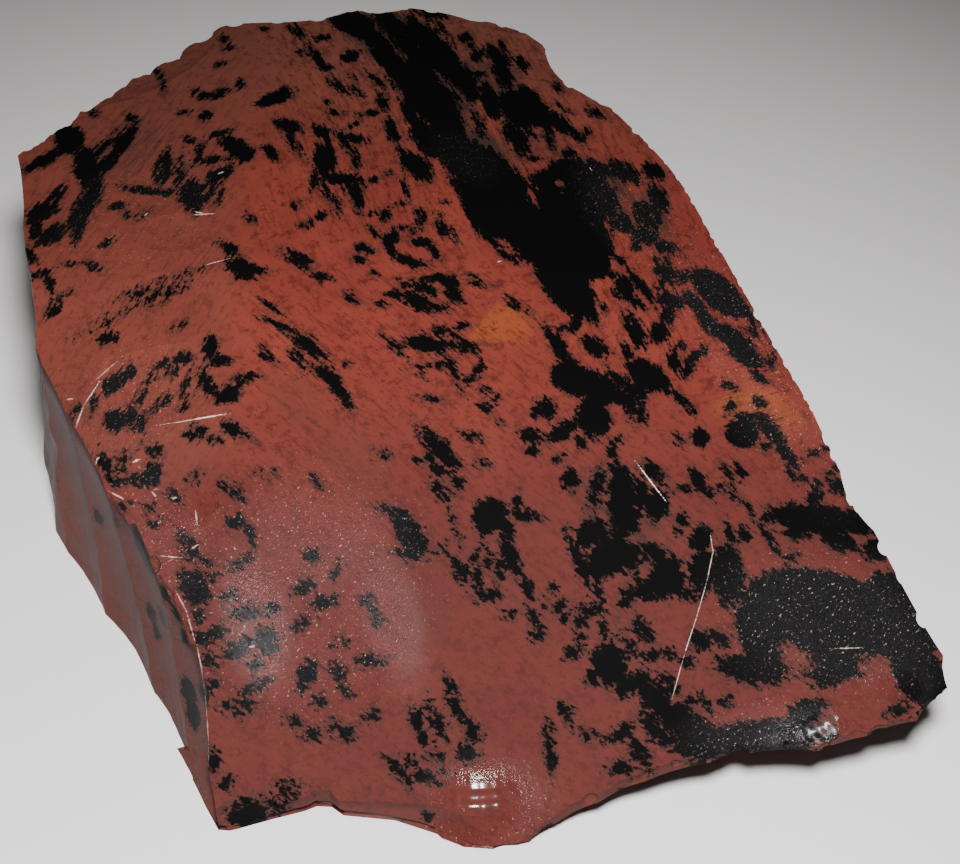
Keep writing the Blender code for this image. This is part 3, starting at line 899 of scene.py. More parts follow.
        (-20.5, -28.9, 2.5, 1.1, 0, 0.72),
        (-18.2, -28.8, 1.7, 0.8, 0, 0.58),
        (-18.7, -31.2, 2.6, 1.8, -5, 0.97),
        (-21.4, -31.8, 2.6, 1.3, 10, 0.95),
        (-19.8, -33.0, 1.4, 0.8, 0, 0.9),
        (-15.2, -30.0, 1.8, 0.9, 25, 0.96),
        (-23.6, -30.5, 1.9, 1.0, 10, 0.85),
        (-25.0, -31.0, 1.5, 1.0, -30, 0.78),
        (-8.4, -33.0, 2.3, 0.9, -5, 0.82),
        (-7.8, -29.5, 2.0, 1.0, -50, 0.52),
        (-8.7, -28.2, 1.0, 0.5, 0, 0.75),
        (-13.9, -17.8, 1.4, 0.7, -40, 0.42),
        (-19.0, -17.0, 1.5, 0.9, 0, 0.42),
        (-26.2, -16.8, 1.6, 1.0, 30, 0.45),
        (-11.4, -31.5, 1.4, 0.9, 0, 0.5),
        (-11.5, -33.8, 1.8, 1.2, -40, 0.52),
    ),
    "shoulder": (
        (-34.7, -7.0, 3.0, 1.6, 50, 1.0),
        (-33.4, -5.8, 2.1, 1.2, 50, 0.92),
        (-31.3, -6.5, 1.1, 0.6, 40, 0.85),
        (-29.8, -4.9, 1.9, 1.0, 30, 0.92),
        (-28.7, -5.7, 1.5, 0.8, 40, 0.85),
        (-27.8, -4.5, 1.8, 1.3, 0, 1.0),
        (-25.1, -3.4, 2.4, 1.6, 70, 1.0),
        (-24.0, -5.0, 2.4, 1.0, -5, 1.0),
        (-25.2, -7.5, 3.7, 1.2, -60, 1.0),
        (-22.9, -8.9, 2.6, 1.8, 20, 1.0),
        (-21.8, -7.7, 1.5, 0.8, 80, 0.95),
        (-21.2, -7.0, 2.0, 0.7, 5, 0.95),
        (-32.1, -8.6, 1.7, 0.9, 75, 0.92),
        (-27.5, -7.6, 1.7, 0.9, 75, 0.85),
        (-29.3, -9.0, 1.5, 0.8, 70, 0.72),
        (-27.3, -8.9, 1.0, 0.6, 70, 0.65),
        (-30.6, -9.7, 1.3, 0.8, 75, 0.92),
        (-27.7, -10.0, 1.1, 0.6, 40, 0.7),
        (-34.5, -11.0, 2.6, 1.8, 85, 0.96),
        (-32.9, -10.9, 2.5, 1.2, 85, 0.92),
        (-31.7, -11.3, 1.7, 0.6, -80, 0.88),
        (-36.8, -9.5, 2.1, 0.6, 85, 0.55),
        (-26.2, -12.6, 1.9, 1.0, 0, 0.92),
        (-24.3, -13.3, 1.5, 0.7, -25, 0.75),
        (-22.5, -12.4, 2.1, 1.2, -30, 0.96),
        (-20.9, -13.2, 1.4, 0.5, -30, 0.82),
        (-30.3, -14.1, 1.7, 1.0, -20, 0.92),
        (-30.6, -16.4, 2.3, 1.8, 70, 1.0),
        (-33.5, -15.6, 1.3, 0.8, -40, 0.92),
        (-32.2, -16.9, 1.8, 0.9, -30, 0.95),
        (-35.1, -15.6, 2.6, 1.0, -60, 0.72),
        (-33.9, -17.0, 1.2, 0.8, 0, 0.75),
        (-33.3, -14.5, 0.9, 0.6, 0, 0.85),
        (-38.4, -10.2, 1.4, 0.8, 60, 0.65),
        (-35.8, -1.8, 1.9, 1.3, 10, 0.96),
        (-28.7, -0.7, 1.6, 1.0, 40, 0.5),
    ),
    "middle": (
        (-17.6, -1.4, 4.4, 0.8, -28, 1.0),
        (-15.0, -3.5, 5.0, 1.4, -40, 1.0),
        (-12.8, -7.4, 5.4, 1.5, -52, 0.9),
        (-11.0, -10.0, 2.2, 0.6, -50, 0.65),
        (-16.2, -5.0, 2.8, 0.9, -58, 0.96),
        (-19.4, -4.6, 2.4, 0.8, -45, 0.96),
        (-19.3, 1.6, 1.6, 0.6, -40, 0.82),
        (-18.5, 0.7, 1.6, 0.4, -40, 0.62),
        (-11.0, -5.7, 0.8, 0.6, 0, 0.92),
        (-6.0, -4.0, 2.6, 0.6, -50, 0.82),
        (-2.0, -1.8, 1.6, 1.0, -20, 1.0),
        (-2.6, -3.5, 4.8, 1.8, -10, 1.0),
        (0.0, -2.4, 1.8, 0.8, -50, 1.0),
        (1.2, -3.6, 2.6, 1.3, -15, 0.92),
        (0.8, -1.1, 1.1, 0.6, 5, 0.96),
        (-0.3, -6.3, 3.6, 1.0, -70, 1.0),
        (-2.2, -6.0, 2.0, 0.6, 5, 0.88),
        (2.3, -6.4, 1.9, 0.8, 70, 0.96),
        (1.6, -7.5, 1.4, 0.8, 20, 0.96),
        (3.0, -8.8, 1.6, 0.8, -40, 1.0),
        (3.1, -10.8, 1.4, 0.9, -40, 1.0),
        (-2.5, -9.7, 1.8, 0.7, -8, 0.96),
        (-4.0, -7.0, 1.1, 0.4, -30, 0.6),
        (4.1, -9.8, 0.9, 0.5, 30, 0.7),
        (-1.7, -14.8, 5.4, 1.8, -48, 0.95),
        (-3.2, -16.0, 1.4, 0.8, 0, 0.65),
        (-1.5, -17.2, 2.0, 0.8, -25, 0.92),
        (0.4, -18.2, 1.4, 1.0, -40, 0.82),
        (-1.8, -18.7, 1.5, 0.8, -10, 0.65),
        (-0.9, -19.7, 1.4, 0.7, -20, 0.85),
        (1.7, -13.7, 2.0, 0.8, -20, 0.96),
        (2.8, -16.6, 1.3, 0.8, -10, 0.66),
        (-7.3, -15.3, 1.8, 1.0, -20, 0.52),
        (-0.2, -21.6, 1.2, 0.5, -60, 0.8),
        (0.3, -23.2, 1.4, 0.5, -60, 0.82),
        (-1.1, -24.5, 1.2, 0.6, -50, 0.85),
        (0.5, -26.2, 2.1, 1.0, -60, 0.92),
        (4.6, -12.4, 0.9, 0.5, -60, 0.6),
    ),
    "comma_and_ring": (
        (-6.5, -20.7, 2.5, 0.9, -15, 0.85),
        (-4.5, -22.8, 4.6, 2.4, -52, 0.97),
        (-4.6, -24.6, 2.2, 1.2, -10, 0.9),
        (3.4, -21.6, 3.5, 3.1, 0, 1.0),
        (5.1, -22.6, 2.8, 1.3, -72, 1.0),
        (7.0, -21.6, 2.9, 1.0, -12, 1.0),
        (6.1, -20.6, 1.4, 0.6, 75, 0.92),
        (5.6, -25.3, 4.2, 1.3, -62, 1.0),
        (7.3, -28.0, 2.0, 0.9, -60, 0.82),
        (7.6, -30.2, 1.8, 0.7, -72, 0.92),
        (5.6, -30.1, 1.1, 0.6, 0, 0.78),
        (3.3, -25.4, 1.6, 0.9, -80, 0.96),
        (2.2, -24.9, 1.4, 0.7, 70, 0.85),
        (4.3, -26.1, 1.1, 0.7, 30, 0.85),
        (2.2, -27.0, 2.0, 0.9, -78, 1.0),
        (3.4, -28.4, 2.5, 0.9, 0, 1.0),
        (4.4, -27.0, 1.7, 0.7, 80, 0.92),
        (1.5, -25.6, 1.0, 0.8, 60, 0.82),
    ),
    "left_of_the_band": (
        (-14.4, 23.2, 5.4, 2.4, 95, 0.92),
        (-12.5, 19.7, 4.8, 1.9, -8, 1.0),
        (-15.3, 19.6, 3.6, 0.9, 85, 0.96),
        (-13.5, 17.0, 4.6, 0.9, -65, 0.95),
        (-10.7, 17.2, 5.6, 1.3, -80, 1.0),
        (-12.0, 18.1, 2.2, 0.6, -60, 0.8),
        (-10.9, 22.5, 3.2, 0.6, -85, 0.75),
        (-9.0, 19.4, 1.4, 1.0, 40, 0.96),
        (-4.4, 21.9, 5.8, 2.6, -55, 1.0),
        (-6.0, 24.3, 2.8, 1.0, -60, 0.95),
        (-5.7, 18.8, 2.6, 0.5, -75, 0.82),
        (-5.9, 15.8, 1.1, 0.5, 0, 0.65),
        (-7.6, 14.0, 2.1, 1.1, 90, 1.0),
        (-9.0, 14.3, 1.1, 0.8, 30, 0.85),
        (-8.9, 11.8, 1.5, 0.6, -60, 0.88),
        (-5.7, 12.3, 2.0, 0.8, 10, 1.0),
        (-6.9, 10.6, 2.4, 1.5, 60, 1.0),
        (-6.9, 8.7, 2.2, 0.9, -60, 1.0),
        (-4.8, 7.3, 3.6, 1.2, -25, 1.0),
        (-3.7, 10.1, 2.4, 1.2, -10, 1.0),
        (-2.3, 8.8, 2.8, 0.9, -60, 1.0),
        (-4.7, 11.6, 1.4, 0.7, -60, 0.85),
        (-3.7, 13.4, 2.6, 0.8, 80, 0.92),
        (-4.2, 14.8, 0.9, 0.6, 0, 0.82),
        (-1.5, 11.9, 2.4, 1.0, -65, 0.96),
        (-0.5, 11.5, 2.6, 0.5, -62, 0.85),
        (-1.5, 14.3, 1.1, 0.5, -40, 0.75),
        (-1.5, 16.1, 0.9, 0.6, -20, 0.8),
        (-9.9, 9.2, 1.4, 1.0, -20, 1.0),
        (-8.9, 8.8, 1.2, 0.9, -20, 1.0),
        (-10.3, 7.6, 1.5, 0.8, -40, 0.85),
        (-8.3, 5.5, 1.1, 0.6, -40, 0.92),
        (-2.0, 5.1, 4.0, 1.0, 8, 1.0),
        (-0.5, 4.6, 2.0, 1.4, -20, 1.0),
        (-3.4, 3.9, 3.6, 1.2, -30, 1.0),
        (-0.3, 3.0, 2.6, 1.3, -50, 1.0),
        (-6.2, 2.7, 2.0, 1.0, -20, 0.92),
        (-3.9, 1.9, 4.0, 1.9, -35, 0.92),
        (-1.9, 1.2, 2.2, 0.9, -10, 0.96),
        (-5.2, 4.2, 1.4, 0.7, -40, 0.9),
        (-10.8, 2.4, 1.5, 0.8, -50, 0.96),
        (-7.7, 1.7, 0.9, 0.6, 0, 0.65),
        (1.8, 5.5, 1.3, 0.5, -15, 0.75),
        (2.3, 4.4, 1.8, 0.6, -10, 0.72),
        (6.2, 1.7, 2.2, 0.9, -45, 0.92),
        (7.4, 0.9, 1.4, 0.6, -45, 0.85),
        (-16.4, 7.9, 3.2, 0.9, -35, 0.82),
        (-17.0, 7.3, 3.6, 0.5, -38, 0.7),
        (-14.0, 5.2, 2.0, 1.0, -20, 0.92),
        (-17.1, 15.4, 1.1, 0.9, 80, 0.96),
        (-14.2, 13.9, 1.7, 1.0, 25, 1.0),
        (-16.3, 12.2, 1.0, 0.6, -30, 0.85),
        (-15.6, 12.4, 1.0, 0.5, 70, 0.9),
        (-7.3, 20.6, 0.7, 0.5, 0, 0.6),
    ),
    "back": (
        (-18.5, 47.6, 3.4, 1.1, -62, 0.92),
        (-15.7, 46.0, 1.8, 1.2, 0, 0.96),
        (-16.2, 42.3, 6.2, 1.1, -66, 0.96),
        (-14.9, 39.7, 1.5, 1.1, 0, 0.96),
        (-18.0, 42.8, 1.5, 0.6, -70, 0.65),
        (-12.2, 42.1, 2.5, 1.9, 80, 1.0),
        (-13.6, 36.3, 3.5, 1.1, -55, 0.96),
        (-11.2, 35.2, 1.8, 0.7, -55, 0.82),
        (-11.9, 37.9, 1.1, 0.5, -50, 0.7),
        (-14.4, 33.3, 1.3, 0.6, -50, 0.75),
        (-13.5, 31.0, 1.6, 0.9, -30, 0.85),
        (-11.4, 28.8, 1.4, 0.7, 50, 0.75),
        (-9.1, 37.3, 3.5, 0.9, -50, 0.92),
        (-8.3, 33.0, 3.8, 1.1, -80, 0.95),
        (-9.6, 31.0, 2.7, 1.0, 10, 0.95),
        (-7.2, 28.2, 4.6, 1.4, -75, 1.0),
        (-18.5, 28.8, 3.5, 2.0, -30, 0.92),
        (-17.8, 25.5, 4.8, 0.9, -65, 0.92),
        (-14.8, 27.5, 2.8, 1.5, -50, 1.0),
        (-12.6, 26.4, 4.0, 0.6, -66, 0.85),
        (-11.0, 26.6, 2.4, 1.4, -20, 1.0),
        (-20.2, 34.0, 4.4, 2.2, 35, 1.0),
        (-19.4, 35.0, 2.0, 1.6, 60, 1.0),
        (-21.3, 33.0, 2.2, 1.4, 10, 1.0),
        (-20.3, 24.2, 2.8, 1.2, -65, 0.92),
        (-28.1, 34.8, 2.2, 1.5, 20, 0.95),
        (-26.5, 35.2, 2.2, 1.2, 50, 0.88),
        (-29.3, 35.6, 1.2, 0.7, 50, 0.82),
        (-27.8, 31.0, 2.0, 1.2, 85, 0.88),
        (-30.3, 31.7, 1.3, 0.9, 0, 0.66),
        (-24.5, 36.8, 1.5, 0.8, -75, 0.85),
        (-26.8, 46.2, 1.8, 0.9, -80, 0.85),
        (-26.0, 44.3, 1.6, 0.9, 10, 0.66),
        (-27.0, 41.0, 1.4, 0.8, 50, 0.66),
        (-34.3, 41.1, 1.4, 0.8, -60, 0.66),
        (-33.3, 38.0, 4.2, 0.7, -78, 0.56),
        (-22.3, 48.2, 1.2, 0.7, -20, 0.58),
        (-36.1, 31.0, 2.0, 1.0, -65, 0.92),
        (-40.3, 32.2, 1.6, 1.0, -80, 0.92),
    ),
    "upper_left": (
        (-42.6, 27.7, 5.4, 3.2, 105, 1.0),
        (-44.9, 24.2, 6.2, 1.8, 50, 1.0),
        (-40.3, 22.6, 6.5, 2.6, 98, 0.86),
        (-36.6, 26.8, 5.4, 1.9, 72, 1.0),
        (-37.9, 23.6, 4.8, 1.6, 65, 1.0),
        (-39.0, 25.6, 4.2, 0.9, 65, 0.75),
        (-39.2, 18.6, 8.4, 1.8, 86, 1.0),
        (-40.0, 15.6, 7.4, 2.4, 80, 1.0),
        (-40.0, 12.2, 3.4, 1.0, 85, 0.96),
        (-44.3, 16.0, 3.8, 2.6, 30, 0.88),
        (-43.2, 18.3, 3.6, 1.4, 65, 0.82),
        (-42.9, 12.1, 4.2, 2.3, 50, 1.0),
        (-44.8, 13.4, 4.0, 1.3, -80, 0.75),
        (-44.7, 8.7, 2.3, 1.0, -65, 1.0),
        (-43.5, 6.2, 2.4, 1.1, 20, 0.82),
        (-42.2, 4.9, 1.8, 0.8, -70, 0.75),
        (-41.6, 2.3, 2.8, 0.9, 50, 0.92),
        (-36.1, 16.3, 1.9, 1.1, 30, 0.75),
        (-35.2, 14.9, 1.4, 0.6, -60, 0.5),
        (-33.3, 15.0, 1.6, 0.7, 75, 0.72),
        (-33.0, 18.7, 5.8, 1.1, -12, 0.92),
        (-28.3, 17.6, 5.3, 2.5, 95, 1.0),
        (-31.9, 22.2, 4.4, 1.9, 85, 0.64),
        (-30.0, 21.5, 4.2, 0.8, 90, 0.64),
        (-31.8, 24.2, 2.3, 0.9, 80, 0.82),
        (-28.2, 24.6, 3.2, 1.0, 80, 0.76),
        (-26.8, 23.2, 2.2, 1.4, 0, 0.92),
        (-25.6, 20.8, 3.0, 1.8, 20, 0.78),
        (-24.6, 22.4, 3.2, 0.8, 85, 0.62),
        (-24.2, 25.3, 4.2, 2.4, -50, 1.0),
        (-22.9, 23.5, 2.5, 1.4, 60, 1.0),
        (-26.4, 27.6, 2.6, 0.9, 25, 0.85),
        (-29.3, 26.7, 1.4, 0.9, -40, 0.85),
        (-26.0, 18.4, 5.0, 1.8, 92, 0.52),
        (-36.9, 10.3, 1.4, 1.0, 40, 0.55),
        (-37.8, 7.0, 1.8, 1.0, -30, 0.52),
        (-40.7, 7.6, 0.9, 0.6, 0, 0.6),
        (-21.8, 13.6, 1.7, 0.9, -60, 0.52),
        (-23.9, 9.3, 2.8, 1.4, -40, 0.92),
        (-22.3, 6.5, 4.0, 2.0, -25, 1.0),
        (-22.0, 5.4, 2.0, 1.0, 0, 1.0),
        (-20.8, 6.1, 2.2, 0.8, 5, 1.0),
        (-32.8, 3.6, 2.0, 0.5, 10, 0.92),
        (-31.5, 3.2, 1.0, 0.6, 0, 0.8),
        (-30.0, 5.0, 8.0, 1.2, 22, 0.42),
        (-34.5, 1.4, 6.5, 0.8, 30, 0.45),
        (-29.5, 3.2, 3.4, 0.8, 40, 0.48),
    ),
}

# Red glass left standing in the black, in the same columns: the last is how clear it is.
RED: Rows = (
    (-1.1, 36.4, 4.6, 0.9, -65, 1.0),
    (0.9, 31.0, 6.4, 1.2, -78, 1.0),
    (2.4, 26.4, 3.2, 1.1, -48, 0.9),
    (3.8, 28.8, 6.6, 1.3, -68, 1.0),
    (5.6, 25.3, 3.4, 1.2, -65, 0.95),
    (-5.8, 33.3, 4.0, 1.0, -68, 0.8),
    (-8.6, 46.9, 4.6, 0.8, -58, 0.95),
    (-6.8, 42.9, 3.4, 0.7, -58, 0.9),
    (-6.6, 50.0, 3.2, 1.0, -65, 0.9),
    (-4.6, 50.2, 3.4, 0.9, -68, 0.9),
    (-2.0, 46.9, 7.0, 0.8, -62, 0.95),
    (-5.6, 45.6, 4.0, 0.5, -62, 0.8),
    (-8.3, 38.4, 5.2, 0.8, -55, 0.95),
    (-3.4, 29.4, 4.0, 0.6, -62, 0.8),
    (-2.6, 40.6, 3.6, 0.45, -72, 0.7),
    (8.1, 18.0, 3.6, 1.0, -80, 0.95),
    (7.0, 22.0, 3.2, 1.4, -70, 0.95),
    (11.1, 19.9, 2.1, 1.4, -10, 0.75),
    (11.9, 17.3, 3.4, 0.6, -62, 0.7),
    (13.7, 14.4, 2.6, 0.6, -50, 0.7),
    (8.9, 28.5, 2.6, 1.4, -40, 0.92),
    (9.3, 25.9, 3.2, 1.3, -78, 0.85),
    (5.2, 10.0, 3.4, 1.1, -42, 0.9),
    (18.6, 19.2, 2.2, 1.9, 0, 0.95),
    (18.5, 16.4, 2.6, 1.1, -80, 0.9),
    (10.8, -12.0, 2.0, 0.8, -60, 0.8),
    (12.0, -10.6, 2.2, 0.6, -60, 0.8),
    (-12.4, 17.6, 2.4, 0.7, -65, 0.9),
    (17.5, -24.0, 1.4, 0.8, 0, 0.92),
    (15.0, -22.0, 2.8, 1.1, -70, 0.95),
    (18.8, -26.8, 2.0, 1.5, 60, 0.95),
    (22.7, -27.2, 2.4, 0.9, -80, 0.92),
    (18.3, -21.8, 2.6, 0.7, -60, 0.7),
    (25.6, -28.4, 2.2, 0.6, 85, 0.55),
    (33.4, -34.4, 4.2, 2.2, -30, 0.85),
    (33.8, -28.6, 2.0, 1.6, 0, 0.45),
    (39.4, -37.6, 7.0, 3.8, 18, 1.0),
    (41.6, -36.2, 3.4, 1.8, -10, 1.0),
    (33.0, -36.8, 3.4, 1.2, -10, 0.75),
    (31.5, -38.3, 5.0, 0.9, -12, 0.62),
    (20.8, -39.6, 6.0, 0.6, -42, 0.75),
    (18.9, -38.3, 3.4, 0.6, -42, 0.8),
    (3.3, -26.7, 1.3, 1.1, 0, 1.0),
    (-41.6, 17.4, 2.6, 1.3, 70, 0.8),
    (-21.4, -30.4, 1.2, 0.8, 0, 0.8),
)

# The share of a soft cloud's reach over which it fades.
SOFT_EDGE = 0.6

# Soft clouds, each with its middle in plan, its length, width and azimuth, and its strength:
# glass left frosted and glittering by the blow, and painted there with a sheen and glints,
FROSTED: Rows = (
    (-15.0, -27.0, 34, 28, 0, 0.75),
    (-29.0, -22.0, 20, 12, -60, 0.8),
    (37.0, -31.0, 30, 17, -8, 0.8),
    (31.0, -40.0, 22, 7, 0, 0.9),
    (3.5, -43.5, 16, 9, 0, 1.0),
    (30.0, -2.0, 48, 16, -65, 0.75),
    (20.0, 14.0, 30, 12, -60, 0.5),
    (-33.0, -8.0, 18, 16, 30, 0.5),
    (-34.0, 14.0, 28, 22, 40, 0.35),
    (0.8, 23.6, 13, 8, -50, 0.2),
)
# but for the two spots that came away smooth,
SMOOTH: Rows = (
    (2.4, -43.6, 11, 7, 0, 1.0),
    (35.8, -39.8, 6, 3.4, 0, 1.0),
)
# glass left bright as a mirror,
GLOSSY: Rows = (
    (2.6, -43.6, 17, 11, 0, 1.0),
    (35.4, -40.2, 16, 5, 0, 0.9),
    (43.6, -36.6, 8, 5, 0, 0.9),
    (-26.5, -20.5, 8, 6, 0, 0.9),
    (-19.7, -29.5, 17, 10, -75, 0.75),
    (-6.2, -29.5, 19, 9, -68, 0.55),
    (-13.5, -22.0, 20, 16, 0, 0.5),
)
# glass warmed towards orange,
WARM: Rows = (
    (4.6, -0.6, 9, 7, -30, 1.0),
    (2.6, -2.2, 5, 3, 55, 0.9),
    (30.2, -9.4, 12, 5.5, 10, 1.0),
    (33.6, -10.8, 6, 4, 20, 0.8),
)
# glass smoked by the black beneath it,
SMOKED: Rows = (
    (-7.5, 46.0, 18, 13, -55, 0.8),
    (-2.5, 36.5, 22, 11, -70, 0.8),
    (4.5, 37.0, 20, 10, -68, 0.55),
    (2.5, 24.5, 14, 9, -50, 0.75),
    (9.5, 27.0, 14, 10, -60, 0.4),
    (14.5, 20.0, 14, 12, -70, 0.6),
    (20.0, 15.0, 16, 9, -60, 0.5),
    (-36.0, 26.0, 18, 12, 65, 0.45),
    (16.5, -22.0, 20, 14, -60, 0.4),
)
# smooth glass hazed with brown,
HAZED: Rows = (
    (-16.0, -9.5, 12, 7, -45, 0.8),
    (-10.5, -15.5, 14, 8, -50, 0.8),
    (-3.5, -27.5, 16, 8, -55, 0.7),
    (-30.0, 12.5, 12, 6, 0, 0.5),
    (-34.0, 22.0, 30, 26, 0, 0.4),
    (0.5, 46.5, 5, 6, 0, 0.7),
)
# and glass hackled in fine ridges towards the right rim.
HACKLED: Rows = (
    (31.0, -8.0, 22, 16, -60, 1.0),
    (27.5, 5.0, 14, 9, -55, 0.8),
)

# Scratches and bruises crushed white, and glints and highlights along arrises painted white, in the
# same columns. The white line is thinner than its patch, and a mark follows the top by as much as
# its depth in mm.
MARK_THINNING = 3
MARK_DEPTH = 4
SCRATCHES_AND_GLINTS: Rows = (
    # Scratches in the glass.
    (19.5, -18.2, 4.8, 0.26, -54, 0.75),
    (25.4, -24.2, 1.9, 0.14, -82, 0.5),
    (25.2, -26.3, 2.9, 0.15, -104, 0.55),
    (24.3, -29.3, 4.1, 0.15, -109, 0.55),
    (23.1, -32.5, 3.7, 0.15, -112, 0.6),
    (21.9, -35.6, 3.9, 0.14, -111, 0.5),
    (38.4, -33.5, 3.4, 0.15, 4, 0.5),
    # Painted highlights along the arrises by the left hollow and down the left rim.
    (-26.6, -11.4, 6.6, 0.2, 7, 0.5),
    (-24.6, -11.1, 3.4, 0.22, 8, 0.7),
    (-27.2, -27.8, 1.9, 0.3, -58, 0.3),
    (-26.2, -29.9, 3.0, 0.26, -70, 0.3),
    (-25.2, -32.8, 3.2, 0.24, -76, 0.32),
    (-24.7, -35.6, 3.2, 0.24, -82, 0.3),
    (-24.4, -38.6, 3.4, 0.22, -88, 0.25),
    # Painted glints, but for the three bruises of the battered edge.
    (-27.4, 14.8, 1.1, 0.26, -20, 0.6),
    (-34.0, -18.3, 1.8, 0.3, -25, 0.4),
    (-28.2, -18.6, 0.8, 0.36, 0, 0.35),
    (-39.2, -8.6, 0.9, 0.3, 0, 0.4),
    (-25.2, 7.3, 2.9, 0.18, 18, 0.5),
    (-26.8, 14.5, 2.6, 0.24, -3, 0.5),
    (-25.8, -20.8, 1.8, 0.3, -80, 0.4),
    (-25.9, -23.4, 1.0, 0.3, 30, 0.4),
    (-28.2, -24.1, 2.4, 0.18, -8, 0.45),
    (-38.0, -10.8, 2.6, 0.26, 75, 0.5),
    (-37.0, -8.2, 3.2, 0.24, 62, 0.4),
    (-35.7, -5.7, 2.8, 0.24, 45, 0.3),
    (-25.5, 21.0, 0.8, 0.3, 20, 0.6),
    (-33.0, 14.8, 0.7, 0.26, 60, 0.6),
    (-32.1, -15.0, 0.8, 0.36, 20, 0.7),
    (-36.0, -15.0, 0.7, 0.3, 40, 0.5),
    (-30.2, -18.2, 0.7, 0.3, -50, 0.5),
    (-20.0, -31.6, 0.7, 0.3, 10, 0.4),
    (14.5, 22.5, 0.6, 0.26, -60, 0.5),
    (4.5, 7.5, 0.6, 0.26, 30, 0.6),
)

# Black spots on the broken wall: azimuth, share of the rim's height, and radius.
WALL_SPOTS: Rows = (
    (214.0, 0.9, 1.7),
    (216.5, 0.86, 1.3),
    (222.5, 0.93, 0.9),
    (225.5, 0.95, 0.8),
    (228.5, 0.92, 0.9),
    (208.0, 0.85, 0.9),
    (221.0, 0.65, 0.9),
    (217.5, 0.5, 1.0),
    (219.5, 0.42, 0.9),
    (230.0, 0.5, 1.5),
    (232.0, 0.42, 1.5),
    (233.0, 0.8, 0.9),
    (201.0, 0.55, 1.0),
)


@dataclass(frozen=True)
class ScratchOrGlint:
    """A scratch or a bruise in the glass, or a painted glint or a painted highlight along an arris:
    its middle in the frame and its half size, both in mm, its azimuth in radians, and how white it
    is."""

    middle: Vector
    heading: float
    half_size: Vector
    white: float


def ellipse(plan: Points, row: tuple[float, ...]) -> np.ndarray:
    """How far points of the plan lie out of a patch.

    Args:
        plan: places in mm, one row each.
        row: the patch's middle, length, width and azimuth.

    Returns:
        Nothing at the middle of the patch and one on its edge.
    """
    x, y, length, width, heading = row[:5]
    cosine, sine = math.cos(math.radians(heading)), math.sin(math.radians(heading))
    across = plan[:, :2] - (x, y)
    along = across[:, 0] * cosine + across[:, 1] * sine
    aside = across[:, 1] * cosine - across[:, 0] * sine
    return np.hypot(2 * along / length, 2 * aside / width)


def ramp(values: np.ndarray, low: float, high: float) -> np.ndarray:
    """A smooth rise from nothing at one value to one at another."""
    share = np.clip((values - low) / (high - low), 0, 1)
    return share * share * (3 - 2 * share)


def cloud(plan: Points, rows: Rows) -> np.ndarray:
    """The strength of the strongest of some soft patches.

    Args:
        plan: places in mm, one row each.
        rows: the patches.

    Returns:
        One strength for each point, from nothing to one.
    """
    strength = np.zeros(len(plan))
    for row in rows:
        strength = np.maximum(strength, row[5] * ramp(1 - ellipse(plan, row), 0, SOFT_EDGE))
    return strength


